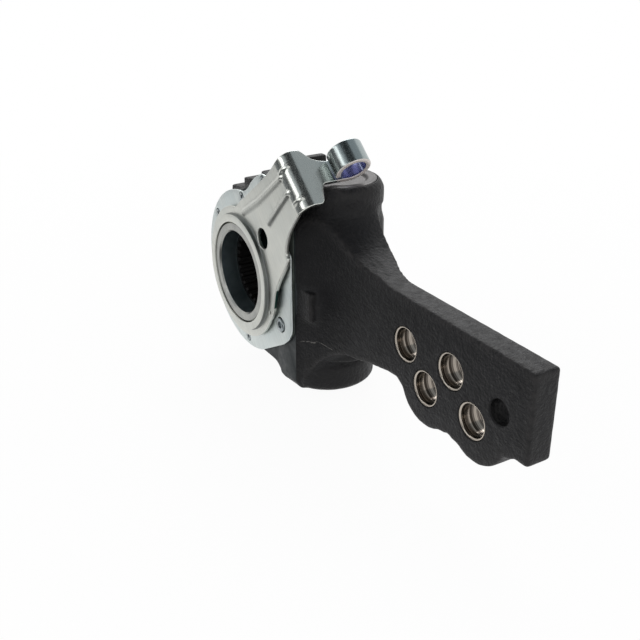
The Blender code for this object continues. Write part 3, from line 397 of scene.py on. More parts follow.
@dataclass
class SheetBlank:
    """A sheet cut to an outline with holes, its edges rounded, before it is bent.

    The two faces carry a field of points with the given spacing. Each loop gets rows that follow
    a quarter turn from the front face to the edge and another from the edge to the back face.
    """

    outline: np.ndarray
    holes: list[np.ndarray]
    thickness: float
    edge: float
    spacing: float
    turns: int = 3

    def _loops(self) -> list[np.ndarray]:
        """Turn every loop the way that puts the sheet on its left.

        Returns:
            The outline counter-clockwise and the holes clockwise.
        """
        made = []
        for number, loop in enumerate([self.outline] + self.holes):
            after = np.roll(loop, -1, axis=0)
            area = np.sum(loop[:, 0] * after[:, 1] - after[:, 0] * loop[:, 1])
            wanted = area > 0 if number == 0 else area < 0
            made.append(loop if wanted else loop[::-1])
        return made

    def _field(self, loops: list[np.ndarray]) -> np.ndarray:
        """Lay points in staggered rows inside the outline and clear of every loop.

        Args:
            loops: The outline and the holes.

        Returns:
            Array (n, 2).
        """
        low = loops[0].min(axis=0)
        high = loops[0].max(axis=0)
        rise = self.spacing * math.sqrt(0.75)
        rows = np.arange(low[1], high[1], rise)
        columns = np.arange(low[0], high[0], self.spacing)
        x, y = np.meshgrid(columns, rows)
        x = x + (np.arange(len(rows)) % 2)[:, None] * self.spacing / 2
        points = np.stack([x.ravel(), y.ravel()], axis=1)
        keep = inside_loop(points, loops[0])
        for loop in loops[1:]:
            keep &= ~inside_loop(points, loop)
        points = points[keep]
        for loop in loops:
            gap = np.min(np.linalg.norm(points[:, None, :] - loop[None, :, :], axis=2), axis=1)
            points = points[gap > self.spacing * 0.6]
        return points

    def _faces(self, inner: list[np.ndarray]) -> tuple[np.ndarray, np.ndarray]:
        """Fill one face of the sheet with triangles between its loops.

        Args:
            inner: The loops, drawn in by the edge's radius.

        Returns:
            Array (n, 2) of points and array (m, 3) of point numbers.
        """
        flat = np.vstack([np.vstack(inner), self._field(inner)]) / MM
        fences = []
        first = 0
        for loop in inner:
            number = np.arange(len(loop))
            fences.append(np.stack([first + number, first + (number + 1) % len(loop)], axis=1))
            first += len(loop)
        made = delaunay_2d_cdt([Vector(point) for point in flat], np.vstack(fences).tolist(), [], 0, 1e-7)
        triangles = np.array([face for face in made[2] if len(face) == 3])
        flat = np.array([tuple(point) for point in made[0]]) * MM
        middle = flat[triangles].mean(axis=1)
        keep = inside_loop(middle, inner[0])
        for loop in inner[1:]:
            keep &= ~inside_loop(middle, loop)
        return flat, triangles[keep]

    def mesh(self, name: str, carry: Callable[[np.ndarray, np.ndarray, np.ndarray], np.ndarray],
             sharp: float = 35.0) -> bpy.types.Mesh:
        """Build the sheet and carry it into place.

        Round each loop the edge's rows lie out by e sin(t) at depth e (1 - cos(t)), then out by
        e cos(t) at depth T - e (1 - sin(t)), with e the edge's radius, T the thickness and t from
        0 to a quarter turn.

        Args:
            name: The mesh's name.
            carry: Function of arrays (along, across, depth), depth counted from the front face,
                that returns an array (n, 3) of places.
            sharp: Angle for sharp edges, in degrees.

        Returns:
            The closed mesh.
        """
        loops = self._loops()
        sides = [outward(loop) for loop in loops]
        inner = [loop - side * self.edge for loop, side in zip(loops, sides)]
        flat, triangles = self._faces(inner)
        count = len(flat)
        along = [flat[:, 0], flat[:, 0]]
        across = [flat[:, 1], flat[:, 1]]
        depth = [np.zeros(count), np.full(count, self.thickness)]
        quads = []
        total = 2 * count
        turn = np.linspace(0.0, np.pi / 2, self.turns + 1)
        out = np.concatenate([np.sin(turn), np.cos(turn)])
        down = np.concatenate([self.edge * (1 - np.cos(turn)),
                               self.thickness - self.edge * (1 - np.sin(turn))])
        for loop, side in zip(inner, sides):
            shift = self.edge * out
            ring = loop[None, :, :] + side[None, :, :] * shift[:, None, None]
            along.append(ring[:, :, 0].ravel())
            across.append(ring[:, :, 1].ravel())
            depth.append(np.repeat(down, len(loop)))
            quads.append(grid_quads(len(out), len(loop), False, True) + total)
            total += len(out) * len(loop)
        points = carry(np.concatenate(along), np.concatenate(across), np.concatenate(depth))
        faces = np.vstack([triangles, triangles[:, ::-1] + count])
        return lay_mesh(name, points, np.vstack(quads), faces, sharp)


# Node recipes for the finishes


class Recipe:
    """Lays out the nodes of one tree."""

    def __init__(self, tree: bpy.types.NodeTree) -> None:
        """Keep the tree and start it empty."""
        self.tree = tree
        tree.nodes.clear()

    def feed(self, socket: bpy.types.NodeSocket, value: bpy.types.NodeSocket | float | tuple) -> None:
        """Link an output to an input, or set the input's own value.

        Args:
            socket: The input.
            value: The output that feeds it, or a plain value.
        """
        if isinstance(value, bpy.types.NodeSocket):
            self.tree.links.new(value, socket)
        else:
            socket.default_value = value

    def add(self, kind: str, inputs: dict | None = None, **settings) -> bpy.types.Node:
        """Add a node, set its properties and its unlinked inputs, and link the others.

        Args:
            kind: The node's type.
            inputs: Values or output sockets by input name or number.
            **settings: The node's own properties.

        Returns:
            The node.
        """
        node = self.tree.nodes.new(kind)
        for name, value in settings.items():
            setattr(node, name, value)
        for name, value in (inputs or {}).items():
            self.feed(node.inputs[name], value)
        return node

    def noise(self, vector: bpy.types.NodeSocket, scale: float, detail: float = 3.0,
              rough: float = 0.5) -> bpy.types.NodeSocket:
        """Value of a noise texture whose scale counts waves in a metre."""
        return self.add("ShaderNodeTexNoise", {"Vector": vector, "Scale": scale, "Detail": detail,
                                               "Roughness": rough}).outputs[0]

    def maths(self, operation: str, first: bpy.types.NodeSocket | float,
              second: bpy.types.NodeSocket | float = 0.0, third: bpy.types.NodeSocket | float = 0.0,
              clamp: bool = False) -> bpy.types.NodeSocket:
        """Result of one sum."""
        return self.add("ShaderNodeMath", {0: first, 1: second, 2: third}, operation=operation,
                        use_clamp=clamp).outputs[0]

    def span(self, value: bpy.types.NodeSocket, low: float, high: float, to_low: float = 0.0,
             to_high: float = 1.0, smooth: bool = False) -> bpy.types.NodeSocket:
        """Map a value from one range to another, clamped."""
        return self.add("ShaderNodeMapRange", {"Value": value, "From Min": low, "From Max": high,
                                               "To Min": to_low, "To Max": to_high},
                        interpolation_type="SMOOTHSTEP" if smooth else "LINEAR").outputs[0]

    def blend(self, share: bpy.types.NodeSocket, first: bpy.types.NodeSocket | tuple,
              second: bpy.types.NodeSocket | tuple) -> bpy.types.NodeSocket:
        """Colour between two colours: a Mix node takes colours at its inputs 6 and 7."""
        return self.add("ShaderNodeMix", {0: share, 6: first, 7: second}, data_type="RGBA").outputs[2]

    def place(self) -> bpy.types.NodeSocket:
        """Object coordinates."""
        return self.add("ShaderNodeTexCoord").outputs["Object"]

    def attribute(self, name: str) -> bpy.types.NodeSocket:
        """Value of a point attribute."""
        return self.add("ShaderNodeAttribute", {}, attribute_name=name).outputs["Fac"]

    def group(self, tree: bpy.types.NodeTree, inputs: dict) -> bpy.types.Node:
        """Add a shared effect and feed it."""
        return self.add("ShaderNodeGroup", inputs, node_tree=tree)

    def dress(self, shader: bpy.types.Node, height: bpy.types.NodeSocket, strength: float,
              inputs: dict) -> None:
        """Feed a shader, and its normal from a height in metres.

        Args:
            shader: The Principled shader.
            height: The surface's height.
            strength: Share of the height that counts.
            inputs: Values or output sockets by the shader's input names.
        """
        bump = self.add("ShaderNodeBump", {"Height": height, "Strength": strength, "Distance": 1.0})
        for name, value in {**inputs, "Normal": bump.outputs[0]}.items():
            self.feed(shader.inputs[name], value)


def open_group(name: str, takes: list[tuple[str, str, float]], gives: list[tuple[str, str]]
               ) -> tuple[bpy.types.NodeTree, Recipe, bpy.types.Node, bpy.types.Node]:
    """Start a node group.

    Args:
        name: The group's name.
        takes: Name, socket type and default value of each input.
        gives: Name and socket type of each output.

    Returns:
        The tree, a recipe for it, its input node and its output node.
    """
    tree = bpy.data.node_groups.new(name, "ShaderNodeTree")
    recipe = Recipe(tree)
    for title, kind, value in takes:
        socket = tree.interface.new_socket(title, in_out="INPUT", socket_type=kind)
        if kind == "NodeSocketFloat":
            socket.default_value = value
    for title, kind in gives:
        tree.interface.new_socket(title, in_out="OUTPUT", socket_type=kind)
    entry = tree.nodes.new("NodeGroupInput")
    leave = tree.nodes.new("NodeGroupOutput")
    return tree, recipe, entry, leave


class SharedEffects:
    """Node groups that several finishes use."""

    def __init__(self) -> None:
        """Build each group once."""
        self.grain = self._grain()
        self.mottle = self._mottle()
        self.strokes = self._strokes()

    def _grain(self) -> bpy.types.NodeTree:
        """Cast skin: fine sand grain, larger bumps and a few pits, as one height in metres.

        Returns:
            The group, whose Fade takes the grain away where a face is machined.
        """
        tree, r, entry, leave = open_group(
            "cast_grain", [("Vector", "NodeSocketVector", 0.0), ("Fade", "NodeSocketFloat", 1.0)],
            [("Height", "NodeSocketFloat"), ("Speck", "NodeSocketFloat")])
        vector = entry.outputs["Vector"]
        fine = r.maths("MULTIPLY", r.noise(vector, 1500.0, 3.0, 0.6), 0.00022)
        middle = r.maths("MULTIPLY", r.noise(vector, 640.0, 2.0, 0.5), 0.00046)
        pits = r.add("ShaderNodeTexVoronoi", {"Vector": vector, "Scale": 330.0}).outputs["Distance"]
        pit = r.maths("MULTIPLY", r.span(pits, 0.0, 0.28, 1.0, 0.0, True), -0.00006)
        height = r.maths("ADD", r.maths("ADD", fine, middle), pit)
        keep = r.maths("SUBTRACT", 1.0, entry.outputs["Fade"], 0.0, True)
        r.feed(leave.inputs["Height"], r.maths("MULTIPLY", height, keep))
        r.feed(leave.inputs["Speck"], r.span(r.noise(vector, 2400.0, 1.0, 0.5), 0.66, 0.78))
        return tree

    def _mottle(self) -> bpy.types.NodeTree:
        """Soft clouds of two sizes, from 0 to 1.

        Returns:
            The group.
        """
        tree, r, entry, leave = open_group(
            "mottle", [("Vector", "NodeSocketVector", 0.0), ("Scale", "NodeSocketFloat", 100.0)],
            [("Cloud", "NodeSocketFloat"), ("Fine", "NodeSocketFloat")])
        vector = entry.outputs["Vector"]
        scale = entry.outputs["Scale"]
        wide = r.add("ShaderNodeTexNoise", {"Vector": vector, "Scale": scale, "Detail": 3.0}).outputs[0]
        finer = r.maths("MULTIPLY", scale, 7.0)
        narrow = r.add("ShaderNodeTexNoise", {"Vector": vector, "Scale": finer, "Detail": 2.0}).outputs[0]
        r.feed(leave.inputs["Cloud"], r.span(wide, 0.32, 0.68, 0.0, 1.0, True))
        r.feed(leave.inputs["Fine"], r.span(narrow, 0.30, 0.70))
        return tree

    def _strokes(self) -> bpy.types.NodeTree:
        """Fine strokes along the arm, drawn as noise stretched along its length.

        Returns:
            The group, whose Turn is the angle from the arm's length to X.
        """
        tree, r, entry, leave = open_group(
            "rolled_strokes", [("Vector", "NodeSocketVector", 0.0), ("Turn", "NodeSocketFloat", 0.0)],
            [("Stroke", "NodeSocketFloat"), ("Height", "NodeSocketFloat")])
        turn = r.add("ShaderNodeVectorRotate", {"Vector": entry.outputs["Vector"],
                                                "Angle": entry.outputs["Turn"]}, rotation_type="Y_AXIS")
        stretch = r.add("ShaderNodeMapping", {"Vector": turn.outputs[0], "Scale": (60.0, 900.0, 1500.0)})
        lines = r.noise(stretch.outputs[0], 1.0, 3.0, 0.6)
        r.feed(leave.inputs["Stroke"], r.span(lines, 0.3, 0.7))
        r.feed(leave.inputs["Height"], r.maths("MULTIPLY", lines, 0.00002))
        return tree


def start_finish(name: str) -> tuple[bpy.types.Material, Recipe, bpy.types.Node]:
    """Start a material with a Principled shader and its output.

    Args:
        name: The material's name.

    Returns:
        The material, a recipe for its nodes and its shader.
    """
    material = bpy.data.materials.new(name)
    material.use_nodes = True
    recipe = Recipe(material.node_tree)
    shader = recipe.add("ShaderNodeBsdfPrincipled")
    output = recipe.add("ShaderNodeOutputMaterial")
    recipe.feed(output.inputs[0], shader.outputs[0])
    return material, recipe, shader


@dataclass(frozen=True)
class CastPaint:
    """Satin black paint over cast iron, thinner and smoother on the machined faces.

    It reads three attributes of the casting: machined for the milled faces, edge for the ridges
    where the paint is thin, and deep for the unlit wall of the plain hole, which gets a painted
    shade. A scratch is a slope, a level, a start, a stop and half a width: the band about
    z = slope x + level.
    """

    dark: tuple = linear(14, 14, 16)
    light: tuple = linear(22, 22, 24)
    machined: tuple = linear(48, 53, 55)
    worn: tuple = linear(58, 56, 56)
    scratch: tuple = linear(96, 94, 92)
    # painted shade: the wall of the plain hole is coloured near black for the shade inside it
    deep: tuple = linear(5, 5, 6)
    specular: float = 0.22
    web_front: float = -16.5 * MM
    scratches: tuple = ((0.24, -0.03200, 0.0505, 0.0625, 0.00020),
                        (-0.15, -0.0078, 0.0615, 0.0700, 0.00016))

    def build(self, effects: SharedEffects) -> bpy.types.Material:
        """Make the material.

        Args:
            effects: The shared effects.

        Returns:
            The material.
        """
        material, r, shader = start_finish("casting_black_paint")
        place = r.place()
        machined = r.attribute("machined")
        grain = r.group(effects.grain, {"Vector": place, "Fade": machined})
        clouds = r.group(effects.mottle, {"Vector": place, "Scale": 45.0})
        body = r.blend(clouds.outputs["Cloud"], self.dark, self.light)
        speck = r.maths("MULTIPLY", grain.outputs["Speck"], 0.35)
        body = r.blend(speck, body, self.worn)
        body = r.blend(r.maths("MULTIPLY", machined, 0.8), body, self.machined)
        wear = r.maths("MULTIPLY", r.attribute("edge"), clouds.outputs["Fine"])
        body = r.blend(r.maths("MULTIPLY", wear, 0.5), body, self.worn)
        body = r.blend(self._scratches(r, place), body, self.scratch)
        # painted shade on the plain hole's wall
        body = r.blend(r.attribute("deep"), body, self.deep)
        rough = r.span(clouds.outputs["Fine"], 0.0, 1.0, 0.40, 0.56)
        r.dress(shader, grain.outputs["Height"], 1.0,
                {"Base Color": body, "Roughness": rough, "Specular IOR Level": self.specular})
        return material

    def _scratches(self, r: Recipe, place: bpy.types.NodeSocket) -> bpy.types.NodeSocket:
        """Light scratches on the web, each a thin broken band about a slanted wavy line in XZ.

        Args:
            r: The material's recipe.
            place: Object coordinates.

        Returns:
            1 on a scratch, else 0.
        """
        part = r.add("ShaderNodeSeparateXYZ", {0: place})
        x, y, z = part.outputs
        wave = r.maths("MULTIPLY", r.noise(place, 260.0, 3.0, 0.6), 0.0022)
        front = r.span(y, self.web_front - MM, self.web_front, 1.0, 0.0)
        broken = r.span(r.noise(place, 700.0, 2.0), 0.42, 0.55)
        here = r.maths("MULTIPLY", front, broken)
        total = None
        for slope, level, start, stop, half in self.scratches:
            line = r.maths("MULTIPLY_ADD", x, slope, level)
            away = r.maths("ABSOLUTE", r.maths("SUBTRACT", r.maths("ADD", z, wave), line))
            band = r.span(away, half, half * 1.8, 1.0, 0.0)
            ends = r.maths("MULTIPLY", r.span(x, start, start + MM), r.span(x, stop - MM, stop, 1.0, 0.0))
            marked = r.maths("MULTIPLY", r.maths("MULTIPLY", band, ends), here)
            total = marked if total is None else r.maths("MAXIMUM", total, marked)
        return total


@dataclass(frozen=True)
class ZincPlate:
    """Bright zinc on pressed steel, with rolling strokes and a faint cold tint.

    It reads six attributes of the arm, each the share of one colour or finish: cold where the
    plating turns blue, violet inside the eye, a painted shade on the wall of the round hole, a
    painted shade on the flanks of steps and ribs, cut on the bare sheared edge, whose near-white
    colour is partly a painted highlight, and gloss where bending smoothed the strokes.
    """

    name: str
    base: tuple
    tint: tuple
    rough_low: float = 0.28
    rough_high: float = 0.42
    metallic: float = 1.0
    turn: float = math.radians(-49.0)
    cold: tuple = linear(112, 134, 142)
    violet: tuple = linear(146, 147, 192)
    # painted shade: a dark green on the round hole's wall that stands in for the shade inside the hole
    painted_hole_shade: tuple = linear(24, 54, 48)
    # painted shade: a darker grey on the ring's step wall and on the ribs' lower flanks
    painted_flank_shade: tuple = linear(76, 81, 82)
    # bare sheared steel; its near-white colour is partly a painted highlight on the edge
    cut: tuple = linear(222, 213, 208)
    stroke_shade: float = 0.70
    smoothest: float = 0.12

    def build(self, effects: SharedEffects) -> bpy.types.Material:
        """Make the material.

        Args:
            effects: The shared effects.

        Returns:
            The material.
        """
        material, r, shader = start_finish(self.name)
        place = r.place()
        strokes = r.group(effects.strokes, {"Vector": place, "Turn": self.turn})
        clouds = r.group(effects.mottle, {"Vector": place, "Scale": 70.0})
        share = r.maths("MULTIPLY", clouds.outputs["Cloud"], 0.6)
        body = r.blend(share, self.base, self.tint)
        shade = r.maths("MULTIPLY", strokes.outputs["Stroke"], 0.30)
        darker = tuple(value * self.stroke_shade for value in self.base[:3]) + (1.0,)
        body = r.blend(shade, body, darker)
        # blends the plating tints, the painted shades and the painted highlight of the cut edge, each by its
        # attribute
        for name in ("cold", "violet", "painted_hole_shade", "painted_flank_shade", "cut"):
            body = r.blend(r.attribute(name), body, getattr(self, name))
        gloss = r.attribute("gloss")
        rough = r.span(strokes.outputs["Stroke"], 0.0, 1.0, self.rough_low, self.rough_high)
        rough = r.maths("MAXIMUM", r.maths("MULTIPLY_ADD", gloss, -0.16, rough), self.smoothest)
        # the sheared edge with the painted highlight is drawn less metallic
        metal = r.span(r.attribute("cut"), 0.0, 1.0, self.metallic, 0.2)
        height = r.maths("MULTIPLY", strokes.outputs["Height"], r.span(gloss, 0.0, 1.0, 1.0, 0.08))
        r.dress(shader, height, 0.5, {"Base Color": body, "Roughness": rough, "Metallic": metal})
        return material


@dataclass(frozen=True)
class TurnedSteel:
    """Bare or dark steel with fine rings left by turning about an axis.

    Where the bands setting is more than 0, the colour changes only along the axis, in painted
    reflection bands of which that many fit in a metre, and the rim at the front stays bright.
    """

    name: str
    base: tuple
    shade: tuple
    axis: Axis = Axis.BORE
    centre: tuple = (0.0, 0.0, 0.0)
    rough_low: float = 0.16
    rough_high: float = 0.30
    metallic: float = 1.0
    pitch: float = 0.00035
    bands: float = 0.0
    rim: float = -15.1 * MM

    def build(self, effects: SharedEffects) -> bpy.types.Material:
        """Make the material.

        Args:
            effects: The shared effects.

        Returns:
            The material.
        """
        material, r, shader = start_finish(self.name)
        place = r.place()
        part = r.add("ShaderNodeSeparateXYZ", {0: place})
        x, y, z = part.outputs
        along = y if self.axis is Axis.BORE else z
        other = z if self.axis is Axis.BORE else y
        level = self.centre[2] if self.axis is Axis.BORE else self.centre[1]
        dx = r.maths("SUBTRACT", x, self.centre[0])
        dz = r.maths("SUBTRACT", other, level)
        radius = r.maths("SQRT", r.maths("ADD", r.maths("MULTIPLY", dx, dx), r.maths("MULTIPLY", dz, dz)))
        travel = r.add("ShaderNodeCombineXYZ", {0: radius, 1: along, 2: 0.0}).outputs[0]
        rings = r.noise(travel, 1.0 / self.pitch, 2.0, 0.6)
        clouds = r.group(effects.mottle, {"Vector": place, "Scale": 120.0})
        share = clouds.outputs["Cloud"]
        # painted reflection: dark and light bands along the axis stand in for the bore's reflections
        if self.bands:
            level_only = r.add("ShaderNodeCombineXYZ", {0: 0.0, 1: along, 2: 0.0}).outputs[0]
            share = r.span(r.noise(level_only, self.bands, 2.0, 0.6), 0.38, 0.54, 0.0, 1.0, True)
            share = r.maths("MULTIPLY", share, r.span(along, self.rim, self.rim + 0.7 * MM))
        body = r.blend(share, self.base, self.shade)
        rough = r.span(rings, 0.3, 0.7, self.rough_low, self.rough_high)
        r.dress(shader, r.maths("MULTIPLY", rings, 0.00001), 0.6,
                {"Base Color": body, "Roughness": rough, "Metallic": self.metallic})
        return material


@dataclass(frozen=True)
class SoftSeal:
    """Black rubber or pressed fibre with a dull skin."""

    name: str
    base: tuple
    rough: float = 0.7

    def build(self, effects: SharedEffects) -> bpy.types.Material:
        """Make the material.

        Args:
            effects: The shared effects.

        Returns:
            The material.
        """
        material, r, shader = start_finish(self.name)
        place = r.place()
        clouds = r.group(effects.mottle, {"Vector": place, "Scale": 200.0})
        lighter = tuple(min(1.0, value * 1.7 + 0.01) for value in self.base[:3]) + (1.0,)
        body = r.blend(clouds.outputs["Cloud"], self.base, lighter)
        rough = r.span(clouds.outputs["Fine"], 0.0, 1.0, self.rough - 0.08, self.rough + 0.1)
        height = r.maths("MULTIPLY", clouds.outputs["Fine"], 0.00003)
        r.dress(shader, height, 0.6, {"Base Color": body, "Roughness": rough})
        return material


class Finishes:
    """Every finish of the adjuster, made once."""

    def __init__(self) -> None:
        """Build the shared effects and the materials."""
        effects = SharedEffects()

        def zinc(name: str, base: tuple, tint: tuple, low: float, high: float) -> bpy.types.Material:
            """Plated sheet between two roughnesses."""
            return ZincPlate(name, linear(*base), linear(*tint), low, high).build(effects)

        def steel(name: str, base: tuple, shade: tuple,
                  **sizes: float | Axis | tuple) -> bpy.types.Material:
            """Turned steel between two colours."""
            return TurnedSteel(name, linear(*base), linear(*shade), **sizes).build(effects)

        upright = {"axis": Axis.WORM, "centre": WORM_CENTRE}
        self.paint = CastPaint().build(effects)
        self.fan = zinc("fan_zinc", (216, 217, 210), (204, 207, 202), 0.32, 0.46)
        self.cover = zinc("cover_zinc", (222, 228, 226), (208, 218, 218), 0.40, 0.52)
        self.screw = steel("screw_zinc", (176, 182, 182), (140, 147, 150))
        self.hub = steel("hub_steel", (168, 169, 164), (148, 149, 146), rough_low=0.24, rough_high=0.38)
        self.blued = steel("blued_bore", (98, 111, 116), (116, 129, 134), rough_low=0.28, rough_high=0.42,
                           metallic=0.85)
        # painted shade: the splines deep in the bore are coloured near black
        self.spline = steel("spline_painted_shade", (13, 12, 12), (20, 18, 16), rough_low=0.46, rough_high=0.60,
                            metallic=0.6)
        # painted reflection: the bush bores get dark bands along their axes
        self.bush = steel("bush_steel", (186, 177, 166), (54, 48, 43), rough_low=0.14, rough_high=0.26,
                          bands=340.0)
        self.worm = steel("worm_steel", (150, 150, 150), (120, 122, 126), rough_low=0.26, rough_high=0.4,
                          **upright)
        self.cap = steel("cap_zinc", (92, 90, 90), (78, 77, 77), rough_low=0.40, rough_high=0.55, **upright)
        self.dark = steel("dark_steel", (84, 86, 90), (64, 66, 70), rough_low=0.3, rough_high=0.45,
                          metallic=0.9)
        self.bronze = steel("bearing_bronze", (178, 142, 92), (150, 116, 72), rough_low=0.3,
                            rough_high=0.42, **upright)
        self.disc = steel("disc_steel", (34, 58, 53), (22, 38, 35), rough_low=0.34, rough_high=0.5,
                          metallic=0.8)
        self.rubber = SoftSeal("seal_rubber", linear(30, 30, 31)).build(effects)
        self.fibre = SoftSeal("gasket_fibre", linear(52, 58, 54), 0.85).build(effects)


def show(mesh: bpy.types.Mesh, finish: bpy.types.Material, body: Body, slot: str,
         *stands_for: str) -> bpy.types.Object:
    """Put a finished mesh in the scene as a piece.

    Args:
        mesh: The mesh, in the row frame.
        finish: Its material.
        body: The body it rides on.
        slot: The record's material slot; not used.
        *stands_for: CAD nodes that it replaces, alone or with others.

    Returns:
        The piece.
    """
    piece = put_in_scene(mesh.name, mesh)
    mesh.materials.clear()
    mesh.materials.append(finish)
    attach(piece, body.value)
    if stands_for:
        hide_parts(*stands_for)
    LOG.info("%s: %d faces on %s", mesh.name, len(mesh.polygons), body.value)
    return piece


@dataclass
class Casting:
    """The one cast body: hub, block, barrel, web, lever, filleted and then machined.

    A block is given as left, right, front, back, low and top in millimetres. The fills close the
    CAD housing's slots and lengthen its pad and ribs before the remesh, and the slots cut them again.
    """

    voxel: float = 0.72 * MM
    light_passes: int = 5
    fillet_passes: int = 80
    face_limit: int = 150000
    front: float = -26.0 * MM
    spare: float = 2.0 * MM
    hub_back: float = 26.5 * MM
    cavity: float = 36.3 * MM
    back_wall: float = 8.5 * MM
    journal: float = 26.8 * MM
    seal_groove: tuple = (29.9 * MM, 20.8 * MM, 24.2 * MM)
    barrel_top: float = 59.2 * MM
    worm_bore: float = 16.7 * MM
    bore_floor: float = -23.0 * MM
    shaft_bore: float = 10.8 * MM
    block_foot: float = -44.5 * MM
    boss_level: float = -47.4 * MM
    boss_bottom: float = -48.8 * MM
    boss_centre: tuple = (39.3 * MM, -1.9 * MM)
    boss_draft: float = 0.94
    cap_bore: float = 17.7 * MM
    cap_seat: float = 53.7 * MM
    lever_front: float = -15.5 * MM
    lever_back: float = -3.0 * MM
    bush_hole: float = 8.3 * MM
    tapped: float = 1.8 * MM
    lock_tapped: float = 2.3 * MM
    thread_end: float = -17.0 * MM
    thread_fill: tuple = (2.6 * MM, -16.0 * MM)
    plain: tuple = (185.4, 4.9, 5.4)
    plain_rim: float = 0.25 * MM
    rack_fill: tuple = (-6.5, 45.0, -28.0, -6.3, 29.6, 37.4)
    pinion_fill: tuple = (40.0, 63.0, -14.5, -6.3, 29.6, 37.4)
    pad_nose: tuple = (53.0, 58.5, -25.3, -21.0, -7.0, 8.6)
    rib_back: tuple = (17.4, 22.6, -7.6, 8.6, 55.0, 62.8)
    rib_noses: tuple = ((-20.6, -11.2, -24.5, 20.0, 34.0, 41.7), (-5.8, 1.0, -24.5, 13.0, 42.0, 49.3),
                        (13.2, 20.0, -24.5, 8.4, 52.0, 57.5))
    rack_slot: tuple = (-5.7, 44.5, -29.0, -6.8, 30.1, 36.9)
    pinion_slot: tuple = (42.5, 62.3, -14.0, -6.8, 30.1, 36.9)
    cover_relief: tuple = (12.0, 27.3, -29.0, -8.0, 57.7, 66.0)
    face_mill: tuple = (-60.0, 80.0, -46.0, -26.0, -60.0, 70.0)
    trim: float = 0.15 * MM
    wave_height: float = 0.035 * MM
    worn_ridge: float = 0.9 * MM

    def _rod(self, radius: float, low: float, high: float, axis: Axis,
             centre: tuple[float, float, float], lead: float = 0.0,
             steps: int = 96) -> tuple[np.ndarray, np.ndarray]:
        """Make a closed cylinder.

        Args:
            radius: Its radius.
            low: Where it starts along the axis.
            high: Where it ends.
            axis: Which way it lies.
            centre: A point on its axis.
            lead: How far both ends open, over the same length, as a chamfering tool does.
            steps: Points on each circle.

        Returns:
            Array of points and array of quads.
        """
        if lead:
            mouth = radius + lead
            profile = np.array([[0.0, low], [mouth, low], [mouth, low + lead], [radius, low + 2 * lead],
                                [radius, high - 2 * lead], [mouth, high - lead], [mouth, high], [0.0, high]])
        else:
            profile = np.array([[0.0, low], [radius, low], [radius, high], [0.0, high]])
        radii = np.repeat(profile[:, :1], steps, axis=1)
        quads = grid_quads(len(profile), steps, True, True)
        return turned_points(radii, profile[:, 1], axis, centre), quads

    def _block(self, sides: tuple) -> tuple[np.ndarray, np.ndarray]:
        """Make a closed block.

        Args:
            sides: Left, right, front, back, low and top in millimetres.

        Returns:
            Array of points and array of quads.
        """
        left, right, front, back, low, top = (side * MM for side in sides)
        points = np.array([[x, y, z] for x in (left, right) for y in (front, back) for z in (low, top)])
        quads = np.array([[0, 1, 3, 2], [4, 6, 7, 5], [0, 4, 5, 1], [2, 3, 7, 6], [0, 2, 6, 4],
                          [1, 5, 7, 3]])
        return points, quads

    def _plugs(self) -> list[tuple[np.ndarray, np.ndarray]]:
        """Fill every hole of the CAD housing, so that only the rough casting is left.

        Returns:
            Points and quads of each closed solid.
        """
        over = 0.6 * MM
        start = self.front - self.spare
        step = self.hub_back - self.back_wall
        made = [self._rod(self.cavity + over, start, step + over, Axis.BORE, BORE_CENTRE),
                self._rod(self.seal_groove[0] + over, step, self.hub_back, Axis.BORE, BORE_CENTRE),
                self._rod(self.cap_bore + 0.3 * MM, self.bore_floor - over, self.barrel_top, Axis.WORM,
                          WORM_CENTRE),
                self._rod(self.shaft_bore + over, self.boss_bottom, self.bore_floor, Axis.WORM,
                          WORM_CENTRE)]
        for sides in (self.rack_fill, self.pinion_fill, self.pad_nose, self.rib_back, *self.rib_noses):
            made.append(self._block(sides))
        radius, end = self.thread_fill
        for x, z in SMALL_SCREW_PLACES + (LOCK_SCREW_PLACE,):
            made.append(self._rod(radius, start, end, Axis.BORE, (x * MM, 0, z * MM), steps=32))
        for x, z in BUSH_PLACES:
            made.append(self._rod(self.bush_hole + over, self.lever_front, self.lever_back, Axis.BORE,
                                  (x * MM, 0, z * MM)))
        x, z, radius = (value * MM for value in self.plain)
        made.append(self._rod(radius + over, self.lever_front, self.lever_back, Axis.BORE, (x, 0, z)))
        return made

